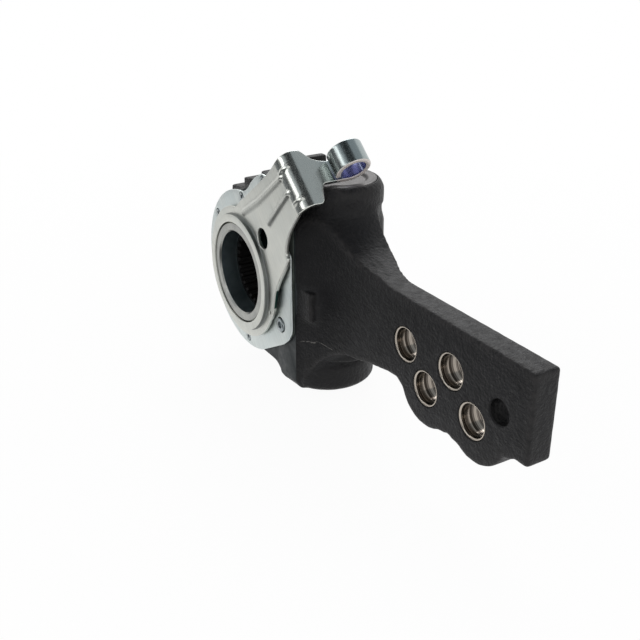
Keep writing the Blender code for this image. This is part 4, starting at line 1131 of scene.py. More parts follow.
    def _cutters(self) -> list[tuple[np.ndarray, np.ndarray]]:
        """Lay out the tools that machine the casting: faces, bores, slots and tapped holes.

        Returns:
            Points and quads of each closed tool.
        """
        far = 3.0 * MM
        start = self.front - far
        step = self.hub_back - self.back_wall
        made = [self._block(self.face_mill),
                self._rod(self.cavity, start, step, Axis.BORE, BORE_CENTRE, steps=160),
                self._rod(self.journal, step - MM, self.hub_back + far, Axis.BORE, BORE_CENTRE, steps=160),
                self._rod(*self.seal_groove, Axis.BORE, BORE_CENTRE, steps=160),
                self._rod(self.cap_bore, self.cap_seat, self.barrel_top + far, Axis.WORM, WORM_CENTRE),
                self._rod(self.worm_bore, self.bore_floor, self.barrel_top, Axis.WORM, WORM_CENTRE),
                self._rod(self.shaft_bore, self.boss_bottom - far, 0.0, Axis.WORM, WORM_CENTRE)]
        for sides in (self.rack_slot, self.pinion_slot, self.cover_relief):
            made.append(self._block(sides))
        threads = [(spot, self.tapped) for spot in SMALL_SCREW_PLACES]
        threads.append((LOCK_SCREW_PLACE, self.lock_tapped))
        for (x, z), radius in threads:
            made.append(self._rod(radius, start, self.thread_end, Axis.BORE, (x * MM, 0, z * MM), steps=32))
        low = self.lever_front
        high = self.lever_back
        for x, z in BUSH_PLACES:
            made.append(self._rod(self.bush_hole, low - 0.3 * MM, high + 0.3 * MM, Axis.BORE,
                                  (x * MM, 0, z * MM), 0.3 * MM))
        x, z, radius = (value * MM for value in self.plain)
        made.append(self._rod(radius, low - 0.4 * MM, high + 0.4 * MM, Axis.BORE, (x, 0, z), 0.5 * MM))
        return made

    def _lengthen(self, points: np.ndarray) -> None:
        """Move corners of the CAD housing before the remesh, in the array itself.

        The front face moves out by the spare that is milled off again, and its lowest corners come up
        to the block's foot. The boss's end moves down to its bottom, drawn in by the boss's draft.

        Args:
            points: Array (n, 3) of the housing's points.
        """
        flat = np.abs(points[:, 1] - self.front) < 0.01 * MM
        points[flat, 1] -= self.spare
        foot = np.abs(points[:, 2] - self.boss_level) < 0.02 * MM
        points[foot, 2] = self.boss_bottom
        centre = np.array(self.boss_centre)
        points[foot, :2] = centre + (points[foot, :2] - centre) * self.boss_draft
        points[flat, 2] = np.maximum(points[flat, 2], self.block_foot)

    def _rough(self, node: bpy.types.Object) -> bpy.types.Object:
        """Plug the CAD housing's holes, leave its front long and remesh it in even cells.

        Args:
            node: The housing, which stays as it is.

        Returns:
            The rough casting.
        """
        work = bmesh.new()
        work.from_mesh(node.data)
        bmesh.ops.remove_doubles(work, verts=work.verts, dist=1e-6)
        body = bpy.data.meshes.new("casting_rough")
        work.to_mesh(body)
        work.free()
        points = mesh_points(body)
        self._lengthen(points)
        body.vertices.foreach_set("co", points.ravel())
        work = bmesh.new()
        work.from_mesh(body)
        for number, (cloud, quads) in enumerate(self._plugs()):
            plug = lay_mesh(f"plug_{number}", cloud, quads)
            work.from_mesh(plug)
            bpy.data.meshes.remove(plug)
        work.to_mesh(body)
        work.free()
        thing = put_in_scene("casting_rough", body)
        cells = thing.modifiers.new("cells", "REMESH")
        cells.mode = "VOXEL"
        cells.voxel_size = self.voxel
        return bake(thing)

    def _ease(self, mesh: bpy.types.Mesh) -> None:
        """Fill the inner corners like a pattern maker's fillets and keep the outer ones.

        L is the surface after a few steps towards the mean of each point's neighbours and S the
        same after many. Where S stands outside L, along L's normal, the point moves out to S; where
        it lies inside, the point moves in by the trim at most, which takes the facets off long curves
        and keeps the edges. A slow sum of sines gives the cast faces their waves.

        Args:
            mesh: The rough casting's mesh, which is changed.
        """
        count = len(mesh.vertices)
        points = mesh_points(mesh).astype(np.float64)
        edges = np.empty(len(mesh.edges) * 2, dtype=np.int32)
        mesh.edges.foreach_get("vertices", edges)
        a, b = edges.reshape(-1, 2).T
        degree = np.bincount(a, minlength=count) + np.bincount(b, minlength=count)

        def relax(place: np.ndarray, passes: int) -> np.ndarray:
            """Move points half way to the mean of their neighbours, several times.

            Args:
                place: Array (n, 3) of points.
                passes: How many times.

            Returns:
                Array (n, 3) of the moved points.
            """
            for _ in range(passes):
                total = np.stack([np.bincount(a, place[b, i], count) + np.bincount(b, place[a, i], count)
                                  for i in range(3)], axis=1)
                mean = total / degree[:, None]
                place = 0.5 * (place + mean)
            return place

        light = relax(points, self.light_passes)
        mesh.vertices.foreach_set("co", light.astype(np.float32).ravel())
        mesh.update()
        normals = np.empty(count * 3, dtype=np.float32)
        mesh.vertex_normals.foreach_get("vector", normals)
        normals = normals.reshape(-1, 3)
        heavy = relax(light, self.fillet_passes)
        rise = np.sum((heavy - light) * normals, axis=1)
        x, y, z = light.T
        slow = np.sin(x * 610 + 1.7 * np.sin(z * 340)) * np.sin(z * 540 + 1.3 * np.sin(x * 290 + y * 200))
        quick = (0.6 * np.sin(x * 1100 + z * 400 + 2.0 * np.sin(z * 700))
                 * np.sin(z * 900 - x * 300 + y * 500))
        cast = np.clip((y - self.front - 2 * MM) / (2 * MM), 0.0, 1.0)
        lift = np.maximum(rise, -self.trim) + (slow + quick) * cast * self.wave_height
        mesh.vertices.foreach_set("co", (light + normals * lift[:, None]).astype(np.float32).ravel())
        mark(mesh, "edge", np.clip(-rise / self.worn_ridge, 0.0, 1.0))
        mesh.update()

    def build(self, frame: dict, finishes: Finishes) -> None:
        """Make the casting in place of the housing.

        Args:
            frame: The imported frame.
            finishes: The finishes.
        """
        thing = self._rough(frame["nodes"]["housing"])
        self._ease(thing.data)
        slim = thing.modifiers.new("slim", "DECIMATE")
        slim.ratio = min(1.0, self.face_limit / (2.0 * len(thing.data.polygons)))
        mesh = self._machine(thing)
        x, y, z = mesh_points(mesh).T
        face = np.abs(y - self.front) < 0.01 * MM
        bore = np.hypot(x, z) < self.cavity + 0.01 * MM
        mark(mesh, "machined", face | bore)
        hole_x, hole_z, radius = (value * MM for value in self.plain)
        # painted shade: marks the plain hole's wall, behind its front rim, for the near-black colour
        wall = np.hypot(x - hole_x, z - hole_z) < radius + 0.3 * MM
        mark(mesh, "deep", wall & (y > self.lever_front + self.plain_rim))
        mesh.shade_smooth()
        mesh.set_sharp_from_angle(angle=math.radians(42.0))
        show(mesh, finishes.paint, Body.ADJUSTER, "black_paint", "housing")

    def _machine(self, thing: bpy.types.Object) -> bpy.types.Mesh:
        """Cut the casting with all its tools at once.

        Args:
            thing: The eased casting, which is removed.

        Returns:
            The machined mesh.
        """
        tools = bpy.data.collections.new("casting_tools")
        bpy.context.scene.collection.children.link(tools)
        for number, (cloud, quads) in enumerate(self._cutters()):
            name = f"tool_{number}"
            tools.objects.link(bpy.data.objects.new(name, lay_mesh(name, cloud, quads)))
        cut = thing.modifiers.new("machining", "BOOLEAN")
        cut.operand_type = "COLLECTION"
        cut.collection = tools
        cut.solver = "MANIFOLD"
        thing = bake(thing)
        for tool in list(tools.objects):
            bpy.data.objects.remove(tool, do_unlink=True)
        bpy.data.collections.remove(tools)
        mesh = thing.data
        mesh.name = "casting"
        bpy.data.objects.remove(thing, do_unlink=True)
        return mesh


@dataclass
class LeverBushes:
    """The four hardened bushes pressed into the lever."""

    outer: float = 8.0 * MM
    bore: float = 7.05 * MM
    low: float = -15.2 * MM
    high: float = -3.3 * MM
    lead: float = 0.5 * MM
    rounding: tuple = (0.15, 0.15, 0.2, 0.4, 0.4, 0.2)

    def build(self, finishes: Finishes) -> None:
        """Make each bush in place of its node, turned from one profile.

        Args:
            finishes: The finishes.
        """
        mouth = self.bore + self.lead
        corners = np.array([[self.outer, self.high], [self.outer, self.low], [mouth, self.low],
                            [self.bore, self.low + self.lead], [self.bore, self.high - self.lead],
                            [mouth, self.high]])
        profile = eased(corners, np.array(self.rounding) * MM, 4)
        for number, (x, z) in enumerate(BUSH_PLACES, 1):
            mesh = turned(f"polished_bush_{number}", profile, Axis.BORE, (x * MM, 0.0, z * MM), 96)
            show(mesh, finishes.bush, Body.ADJUSTER, "bright_steel", f"lever_bush_{number}")


@dataclass
class WheelAndHub:
    """The worm wheel with its journals, bore entries and splines, one closed surface.

    The radius is a function of the angle and of the way round the cross-section: on the rows of the
    spline and of the rim it follows the tooth shape, elsewhere it is constant.
    """

    steps: int = 448
    teeth: int = 24
    root: float = 31.7 * MM
    tip: float = 35.8 * MM
    half_width: float = 8.0 * MM
    slope: float = 0.0977
    pitch_radius: float = 34.0 * MM
    splines: int = 28
    minor: float = 18.9 * MM
    major: float = 20.4 * MM
    journal: float = 26.5 * MM
    shoulder: float = 29.8 * MM
    entry: float = 21.9 * MM
    depth: float = 10.0 * MM
    front: float = -32.7 * MM
    back: float = 27.1 * MM
    front_journal: float = -22.2 * MM
    back_journal: float = 17.7 * MM
    seal_line: float = -28.0 * MM
    corner: float = 0.5 * MM
    mouth_depth: float = 0.9 * MM
    mouth_width: float = 0.75 * MM
    rim_shares: tuple = (0.13, 0.14)
    spline_shares: tuple = (0.17, 0.13)
    spline_phase: float = 0.3

    def _tooth(self, count: int, low: float, high: float, shares: tuple, phase: float = 0.0) -> np.ndarray:
        """Radius around the turn: a flat land, straight flanks and a flat root.

        Args:
            count: Number of teeth.
            low: Radius between the teeth.
            high: Radius on the teeth.
            shares: Half a land and one flank as shares of a pitch.
            phase: Angle of the first tooth in radians.

        Returns:
            Array (steps,) of radii.
        """
        land, flank = shares
        angle = np.linspace(0.0, 2 * np.pi, self.steps, endpoint=False)
        share = np.mod((angle - phase) * count / (2 * np.pi) + 0.5, 1.0) - 0.5
        return low + (high - low) * np.clip((land + flank - np.abs(share)) / flank, 0.0, 1.0)

    def build(self, finishes: Finishes) -> None:
        """Make the wheel in place of its node.

        A row of the cross-section is a radius, a height and a kind: 0 for a plain circle, 1 for the
        rim's teeth, 2 for the splines and 3 for the splines' run-out.

        Args:
            finishes: The finishes.
        """
        w = self.half_width
        inside = self.front + self.depth
        outside = self.back - self.depth
        corner = self.corner
        run_out = self.major + 0.5 * MM
        rows = [(self.journal - corner, self.front, 0), (self.journal, self.front + corner, 0),
                (self.journal, self.front_journal, 0), (self.shoulder, self.front_journal, 0),
                (self.shoulder, -w, 0), (0.0, -w, 1), (0.0, -w / 3, 1), (0.0, w / 3, 1), (0.0, w, 1),
                (self.shoulder, w, 0), (self.shoulder, self.back_journal, 0),
                (self.journal, self.back_journal, 0), (self.journal, self.back - corner, 0),
                (self.journal - corner, self.back, 0), (self.entry + corner, self.back, 0),
                (self.entry, self.back - corner, 0), (self.entry, outside, 0), (run_out, outside, 0),
                (0.0, outside, 3)]
        rows += [(0.0, y, 2) for y in np.linspace(outside - 0.7 * MM, inside + 0.7 * MM, 6)]
        rows += [(0.0, inside, 3), (run_out, inside, 0), (self.entry, inside, 0),
                 (self.entry, self.seal_line, 0), (self.entry, self.front + self.mouth_depth, 0),
                 (self.entry + self.mouth_width, self.front, 0)]
        radius = np.array([row[0] for row in rows])
        height = np.array([row[1] for row in rows])
        kind = np.array([row[2] for row in rows])
        rim = self._tooth(self.teeth, self.root, self.tip, self.rim_shares)
        spline = self._tooth(self.splines, self.major, self.minor, self.spline_shares, self.spline_phase)
        mouth = np.maximum(spline, self.major - 0.5 * MM)
        radii = np.repeat(radius[:, None], self.steps, axis=1)
        for number, around in ((1, rim), (2, spline), (3, mouth)):
            radii[kind == number] = around
        twist = np.where(kind == 1, height * self.slope / self.pitch_radius, 0.0)
        points = turned_points(radii, height, Axis.BORE, BORE_CENTRE, -twist)
        mesh = lay_mesh("splined_wheel", points, grid_quads(len(rows), self.steps, True, True), None, 28.0)
        show(mesh, finishes.hub, Body.WHEEL, "dark_steel", "worm_wheel")
        mesh.materials.append(finishes.blued)
        mesh.materials.append(finishes.spline)
        centres = np.empty(len(mesh.polygons) * 3, dtype=np.float32)
        mesh.polygons.foreach_get("center", centres)
        x, y, z = centres.reshape(-1, 3).T
        rim_edge = 0.3 * MM
        within = (y > self.front + rim_edge) & (y < self.back - rim_edge)
        deep = (np.hypot(x, z) < self.entry + 0.05 * MM) & within
        # the splines deep in the bore take the near-black finish, a painted shade
        toothed = deep & (y > inside - 0.1 * MM) & (y < outside + 0.1 * MM)
        mesh.polygons.foreach_set("material_index", deep.astype(np.int32) + toothed.astype(np.int32))
        mesh.update()


@dataclass
class FrontCover:
    """The zinc cover plate over the hub, with its small screws and the lock screw."""

    radius: float = 43.1 * MM
    opening: float = 31.0 * MM
    right: float = 48.4 * MM
    top: float = 57.9 * MM
    front: float = -28.0 * MM
    thickness: float = 1.0 * MM
    head: float = 2.2 * MM
    head_gap: float = 0.35 * MM
    lock_head: float = 3.6 * MM
    lock_gap: float = 0.5 * MM
    sight: tuple = (25.7 * MM, 26.7 * MM, 6.2 * MM)
    socket_edge: float = 0.25 * MM
    thread_end: float = -18.4 * MM

    def outline(self) -> np.ndarray:
        """Outline of the plate: round over the hub, square with round corners at the top right.

        Returns:
            Array (n, 2) of x and z.
        """
        inset = np.array([[self.right, 22.6 * MM], [47.6 * MM, 24.4 * MM], [44.6 * MM, 26.6 * MM],
                          [43.8 * MM, 28.6 * MM], [43.8 * MM, 42.8 * MM], [44.4 * MM, 45.0 * MM],
                          [47.4 * MM, 47.4 * MM], [47.9 * MM, 49.0 * MM]])
        return np.vstack([circle_loop((0.0, 0.0), self.radius, 80, 92.0, 292.0),
                          np.array([[39.4, -26.8], [44.8, -22.4]]) * MM,
                          circle_loop((self.right - 8 * MM, -14.5 * MM), 8 * MM, 8, -30.0, 0.0),
                          inset,
                          circle_loop((self.right - 3.5 * MM, self.top - 3 * MM), 3 * MM, 8, 0.0, 90.0),
                          circle_loop((21.6 * MM, self.top - 6 * MM), 6 * MM, 8, 90.0, 130.0),
                          np.array([[12.9, 54.0], [8.4, 50.1], [6.0, 47.4], [3.4, 45.2],
                                    [0.9, 44.0]]) * MM])

    def _opening(self) -> np.ndarray:
        """The round opening with the sight notch: the larger of the two circles' reach at each angle.

        From the plate's centre the notch's circle, at distance d and radius s, reaches
        d cos(a) + sqrt(s^2 - d^2 sin^2(a)) at the angle a from its own centre.

        Returns:
            Array (n, 2) of x and z.
        """
        x, z, size = self.sight
        angle = np.radians(np.linspace(0.0, 360.0, 240, endpoint=False))
        away = angle - math.atan2(z, x)
        distance = math.hypot(x, z)
        root = size ** 2 - (distance * np.sin(away)) ** 2
        reach = distance * np.cos(away) + np.sqrt(np.maximum(root, 0.0))
        radius = np.where((root > 0) & (np.cos(away) > 0), np.maximum(reach, self.opening), self.opening)
        return np.stack([radius * np.cos(angle), radius * np.sin(angle)], axis=1)

    def _screw(self, name: str, head: float, crown: float, foot: float, shank: float, socket: float,
               dip: float, centre: tuple) -> bpy.types.Mesh:
        """A screw with a six-sided socket, whose rows follow a hexagon: r(a) = s / cos(a) from a flat.

        Args:
            name: The mesh's name.
            head: Radius of the head.
            crown: Level of the head's top.
            foot: Level where the head meets the shank.
            shank: Radius of the shank.
            socket: Half the socket's width across flats.
            dip: Depth of the socket.
            centre: Where the screw's axis runs.

        Returns:
            The mesh.
        """
        steps = 72
        angle = np.linspace(0.0, 2 * np.pi, steps, endpoint=False)
        six = socket / np.cos(np.mod(angle, np.pi / 3) - np.pi / 6)
        edge = self.socket_edge
        end = self.thread_end
        rows = [(0.0, crown + dip, 0), (1.0, crown + dip, 1), (1.0, crown + 0.1 * MM, 1), (1.06, crown, 1),
                (head - edge, crown, 0), (head - edge * 0.3, crown + edge * 0.3, 0),
                (head, crown + edge, 0), (head, foot, 0), (shank, foot + 0.4 * MM, 0), (shank, end, 0),
                (shank - 0.4 * MM, end + 0.4 * MM, 0), (0.0, end + 0.4 * MM, 0)]
        radii = np.stack([size * six if kind else np.full(steps, size) for size, _, kind in rows])
        heights = np.array([row[1] for row in rows])
        points = turned_points(radii, heights, Axis.BORE, centre)
        return lay_mesh(name, points, grid_quads(len(rows), steps, True, True))

    def build(self, finishes: Finishes) -> None:
        """Make the plate and its screws in place of their nodes.

        Args:
            finishes: The finishes.
        """
        holes = [self._opening()]
        for x, z in SMALL_SCREW_PLACES:
            holes.append(circle_loop((x * MM, z * MM), self.head + self.head_gap, 32))
        lock_x, lock_z = (value * MM for value in LOCK_SCREW_PLACE)
        holes.append(circle_loop((lock_x, lock_z), self.lock_head + self.lock_gap, 48))
        blank = SheetBlank(even_loop(self.outline(), 0.9 * MM), holes, self.thickness, 0.3 * MM, 2.2 * MM)

        def lay(along: np.ndarray, across: np.ndarray, depth: np.ndarray) -> np.ndarray:
            """Lay the plate flat on the gasket."""
            return np.stack([along, self.front + depth, across], axis=1)

        mesh = blank.mesh("cover_plate", lay)
        show(mesh, finishes.cover, Body.ADJUSTER, "zinc_plate", "front_cover")
        for number, (x, z) in enumerate(SMALL_SCREW_PLACES, 1):
            mesh = self._screw(f"small_screw_{number}", self.head, self.front, self.front + 0.9 * MM,
                               1.5 * MM, 0.95 * MM, 0.9 * MM, (x * MM, 0.0, z * MM))
            show(mesh, finishes.screw, Body.ADJUSTER, "zinc_plate", f"cover_screw_{number}")
        mesh = self._screw("lock_screw", self.lock_head, self.front - 0.6 * MM, self.front + 0.8 * MM,
                           2.0 * MM, 1.7 * MM, 1.3 * MM, (lock_x, 0.0, lock_z))
        show(mesh, finishes.screw, Body.ADJUSTER, "zinc_plate", "cover_lock_screw")


@dataclass
class ControlArm:
    """Control arm: ring, fan with pressed ribs and darts, bend, strap and rolled eye."""

    angle: float = math.radians(49.0)
    sheet: float = 1.9 * MM
    front: float = -31.1 * MM
    ring_front: float = -33.35 * MM
    ring_back: float = -28.5 * MM
    ring_bore: float = 26.95 * MM
    step_radius: float = 31.0 * MM
    edge_radius: float = 35.0 * MM
    fan_hole: tuple = (37.0 * MM, -1.9 * MM, 5.3 * MM)
    dimple: tuple = (12.4 * MM, -31.3 * MM, 0.8 * MM)
    bend_start: float = 77.3 * MM
    bend_radius: float = 6.5 * MM
    eye_y: float = -2.2 * MM
    eye_radius: float = 7.5 * MM
    eye_thicker: float = 1.28
    eye_high: float = 7.6 * MM
    eye_wrap: float = math.radians(308.0)
    high: float = 7.1 * MM
    low: float = -4.2 * MM
    rib_rise: float = 1.25 * MM
    rib_half: float = 2.3 * MM
    dart_rise: float = 0.5 * MM
    dart_half: float = 1.25 * MM
    ribs: tuple = (((30.4, 18.2), (39.4, 15.3), (49.3, 12.2), (64.9, 8.8), (77.2, 6.3)),
                   ((50.0, -0.8), (65.8, -1.6), (77.2, -2.3)))
    darts: tuple = (((78.0, 8.3), (83.6, 9.0)), ((78.0, -9.0), (83.6, -8.5)))
    ring_land: float = 30.6 * MM
    # shares of painted shade on the ring's step wall and on the ribs' lower flanks
    step_wall_shade: float = 0.85
    rib_flank_shade: float = 0.42

    @property
    def eye_centre(self) -> float:
        """How far along the arm the eye's centre lies."""
        return self.bend_start + self.bend_radius + self.eye_radius

    @property
    def middle(self) -> float:
        """Level of the middle of the sheet in the fan."""
        return self.front + self.sheet / 2

    @property
    def bend(self) -> float:
        """Length of the bend along the middle of the sheet."""
        return self.bend_radius * math.pi / 2

    @property
    def straight(self) -> float:
        """Length of the strap between the bend and the eye."""
        return self.eye_y - (self.middle + self.bend_radius)

    def outline(self) -> np.ndarray:
        """Outline of the flat blank, with strap and eye still straight.

        Returns:
            Array (n, 2): how far along the arm and how far across it.
        """
        start = self.bend_start
        tip = start + self.bend + self.straight + self.eye_radius * self.eye_wrap
        foot = start + self.bend
        clear = foot + self.straight * 0.37
        upper = np.array([[31.0, 24.4], [37.0, 22.9], [44.2, 21.1], [52.0, 19.2], [60.2, 17.3],
                          [66.5, 16.0], [72.3, 15.1], [78.0, 14.8], [83.0, 15.5]]) * MM
        share = np.array([0.08, 0.145, 0.20, 0.27, 0.335, 0.425, 0.53, 0.66])
        rise = np.array([8.4, 7.8, 6.5, 4.3, 2.6, 1.4, 0.6, 0.0]) * MM
        shoulder = np.stack([foot + self.straight * share, self.high + rise], axis=1)
        roll = foot + self.straight
        ends = np.array([[roll - 2 * MM, self.high], [roll + 3 * MM, self.eye_high],
                         [tip - 3 * MM, self.eye_high], [tip - 0.6 * MM, self.eye_high],
                         [tip, self.eye_high - 0.6 * MM],
                         [tip, self.low + 0.6 * MM], [tip - 0.6 * MM, self.low], [tip - 3 * MM, self.low]])
        heel = np.array([[clear + 4 * MM, self.low], [clear, self.low],
                         [clear - 1.2 * MM, self.low - 2.2 * MM], [clear - 2.3 * MM, self.low - 5.4 * MM]])
        lower = np.array([[91.5, -14.5], [86.0, -14.2], [80.0, -14.2], [73.6, -14.4], [66.0, -14.8],
                          [60.4, -15.7], [54.7, -17.8], [51.4, -20.4], [51.9, -22.6], [50.6, -23.7],
                          [43.2, -24.6], [33.9, -25.7], [27.1, -27.1], [21.3, -30.2], [15.9, -33.0],
                          [9.6, -34.4]]) * MM
        around = circle_loop((0.0, 0.0), self.edge_radius, 90, 284.0, 46.2)
        return np.vstack([upper, shoulder, ends, heel, lower, around])

    def _ridge(self, along: np.ndarray, across: np.ndarray, path: tuple, half: float) -> np.ndarray:
        """Height from 0 to 1 near a path: (1 - (d / half)^2)^2 of the distance d to it.

        Args:
            along: Array of places along the arm.
            across: Array of places across it.
            path: Points of the path in millimetres.
            half: Half the ridge's width.

        Returns:
            Array of heights.
        """
        nodes = np.array(path) * MM
        best = np.full(along.shape, 1e9)
        for first, last in zip(nodes[:-1], nodes[1:]):
            step = last - first
            share = ((along - first[0]) * step[0] + (across - first[1]) * step[1]) / (step @ step)
            share = np.clip(share, 0.0, 1.0)
            gap = np.hypot(along - first[0] - share * step[0], across - first[1] - share * step[1])
            best = np.minimum(best, gap)
        return np.maximum(1.0 - (best / half) ** 2, 0.0) ** 2

    def pressed(self, along: np.ndarray, across: np.ndarray) -> np.ndarray:
        """How far the sheet is pushed towards the front by its ribs and darts.

        Args:
            along: Array of places along the arm.
            across: Array of places across it.

        Returns:
            Array of heights.
        """
        ribs = [self._ridge(along, across, path, self.rib_half) for path in self.ribs]
        darts = [self._ridge(along, across, path, self.dart_half) for path in self.darts]
        return self.rib_rise * np.maximum.reduce(ribs) + self.dart_rise * np.maximum.reduce(darts)

    def folded(self, along: np.ndarray, across: np.ndarray, depth: np.ndarray) -> np.ndarray:
        """Carry points of the blank round the bend, up the strap and round the eye.

        Up to the bend the sheet is flat. In the bend a point turns about the bend's axis by its run
        over the bend's radius. The strap is straight, and the eye turns the other way, its turn the
        run over the eye's radius. Last, everything is swung up by the arm's angle about the bore.

        Args:
            along: Array (n,) of places along the blank.
            across: Array (n,) of places across it.
            depth: Array (n,) of depths below its front face.

        Returns:
            Array (n, 3).
        """
        run = along - self.bend_start
        thicker = np.interp(run, [0.0, self.bend], [1.0, self.eye_thicker])
        lift = (depth - self.sheet / 2) * thicker - self.pressed(along, across)
        turn = np.clip(run, 0.0, self.bend) / self.bend_radius
        reach = self.bend_radius - lift
        flat = np.minimum(run, 0.0)
        bent_n = self.bend_start + flat + reach * np.sin(turn)
        bent_y = self.middle + self.bend_radius - reach * np.cos(turn)
        strap = np.clip(run - self.bend, 0.0, self.straight)
        bent_y = bent_y + strap
        wrap = (run - self.bend - self.straight) / self.eye_radius
        arm = self.eye_radius + lift
        eye_n = self.eye_centre - arm * np.cos(wrap)
        eye_y = self.eye_y + arm * np.sin(wrap)
        n = np.where(wrap > 0, eye_n, bent_n)
        y = np.where(wrap > 0, eye_y, bent_y)
        x = n * math.cos(self.angle) - across * math.sin(self.angle)
        z = n * math.sin(self.angle) + across * math.cos(self.angle)
        return np.stack([x, y, z], axis=1)

    def build(self, finishes: Finishes) -> None:
        """Make the folded sheet and the ring, which share one node.

        Args:
            finishes: The finishes.
        """
        outline = even_loop(smoothed_loop(self.outline(), 2), 0.7 * MM)
        holes = [circle_loop((0.0, 0.0), self.ring_bore + 1.5 * MM, 180),
                 circle_loop(self.fan_hole[:2], self.fan_hole[2], 56),
                 circle_loop(self.dimple[:2], self.dimple[2], 12)]
        blank = SheetBlank(outline, holes, self.sheet, 0.4 * MM, 0.85 * MM)
        mesh = blank.mesh("folded_arm", self.folded, 40.0)
        self._mark_plating(mesh)
        show(mesh, finishes.fan, Body.ARM, "zinc_plate", "control_arm")
        show(self._ring(), finishes.fan, Body.ARM, "zinc_plate", "control_arm")

    def _ring(self) -> bpy.types.Mesh:
        """Turn the raised ring, with painted shade marked on its step down to the fan.

        Returns:
            The ring's mesh.
        """
        within = self.front + 0.5 * self.sheet
        step = self.step_radius
        corners = np.array([[self.ring_bore, self.ring_back], [self.ring_land, self.ring_back],
                            [self.ring_land, within], [step + 0.7 * MM, within],
                            [step + 0.5 * MM, self.front - 0.02 * MM],
                            [step + 0.08 * MM, self.front - 0.35 * MM], [step, self.ring_front],
                            [self.ring_bore, self.ring_front]])
        widths = np.array([0.2, 0.2, 0.2, 0.2, 0.3, 0.3, 0.4, 0.4]) * MM
        mesh = turned("arm_ring", eased(corners, widths, 5), Axis.BORE, BORE_CENTRE, 200)
        x, y, z = mesh_points(mesh).T
        wall = (np.hypot(x, z) > step - 0.12 * MM) & (y > self.ring_front + 0.12 * MM)
        # painted shade on the ring's step wall
        mark(mesh, "painted_flank_shade", wall * self.step_wall_shade)
        return mesh

    def _mark_plating(self, mesh: bpy.types.Mesh) -> None:
        """Mark where the plating of the folded sheet changes and where shade is painted, for its finish to
        read.

        It turns violet inside the eye and cold from the bend on, most towards the eye. It is glossy
        past the bend's start. Painted shade darkens the round hole's wall and the ribs' lower flanks,
        and the eye's sheared end is bare, its near-white colour partly a painted highlight.

        Args:
            mesh: The folded sheet.
        """
        x, y, z = mesh_points(mesh).T
        n = x * math.cos(self.angle) + z * math.sin(self.angle)
        across = z * math.cos(self.angle) - x * math.sin(self.angle)
        away = np.hypot(n - self.eye_centre, y - self.eye_y)
        inside = np.clip((self.eye_radius - 0.4 * MM - away) / (0.5 * MM), 0.0, 1.0)
        bend = np.clip((y - self.front - 1.5 * MM) / (4 * MM), 0.0, 1.0) * (n > self.bend_start - MM)
        toward = np.clip((y - self.eye_y + 13 * MM) / (8 * MM), 0.0, 1.0) * (away > self.eye_radius)
        hole_x, hole_z, hole_r = self.fan_hole
        wall = (np.hypot(x - hole_x, z - hole_z) < hole_r + 0.25 * MM) & (y > self.front + 0.25 * MM)
        side = self.pressed(n, across + 0.8 * MM) - self.pressed(n, across - 0.8 * MM)
        flank = np.clip(side / (0.6 * MM), 0.0, 1.0) * (y < self.front + 1.5 * MM)
        # the eye's bare sheared edge, its near-white colour partly a painted highlight
        mark(mesh, "cut", (across < self.low + 0.3 * MM) & (away < self.eye_radius + 1.6 * MM))
        mark(mesh, "cold", np.clip(bend * 0.2 + bend * toward * 0.4, 0.0, 1.0))
        mark(mesh, "violet", inside * 0.8)
        mark(mesh, "gloss", np.clip((n - self.bend_start + 0.6 * MM) / (1.2 * MM), 0.0, 1.0))
        # painted shade on the round hole's wall
        mark(mesh, "painted_hole_shade", wall * (y < -20 * MM))
        # painted shade on the ribs' lower flanks
        mark(mesh, "painted_flank_shade", flank * self.rib_flank_shade)


@dataclass
class SpringCap:
    """The dished cover pressed into the top of the barrel."""

    radius: float = 17.4 * MM
    ring: float = 12.9 * MM
    dish: float = 1.5 * MM
    top: float = 59.2 * MM
    low: float = 54.0 * MM

    def build(self, finishes: Finishes) -> None:
        """Make the cap in place of its node.

        Args:
            finishes: The finishes.
        """
        floor = self.top - self.dish
        corners = np.array([[0.0, floor], [self.ring - 0.8 * MM, floor],
                            [self.ring, self.top], [self.radius, self.top], [self.radius, self.low],
                            [0.0, self.low]])
        widths = np.array([0.0, 0.8, 0.8, 0.5, 0.4, 0.0]) * MM
        mesh = turned("dished_cap", eased(corners, widths, 5), Axis.WORM, WORM_CENTRE, 128)
        show(mesh, finishes.cap, Body.ADJUSTER, "zinc_plate", "spring_cover")


@dataclass(frozen=True)
class Lamp:
    """A soft lamp: its place, its size and its power."""

    name: str
    spot: tuple
    wide: float
    tall: float
    power: float


@dataclass(frozen=True)
class Card:
    """A flat card that only reflections see: two opposite corners and how light it is."""

    name: str
    low: tuple
    high: tuple
    tone: float

    def corners(self) -> list[tuple]:
        """The card's four corners: it lies flat if both ends have one height, else it stands."""
        (left, near, foot), (right, far, top) = self.low, self.high
        return [(left, near, foot), (right, near, foot), (right, far, top), (left, far, top)]


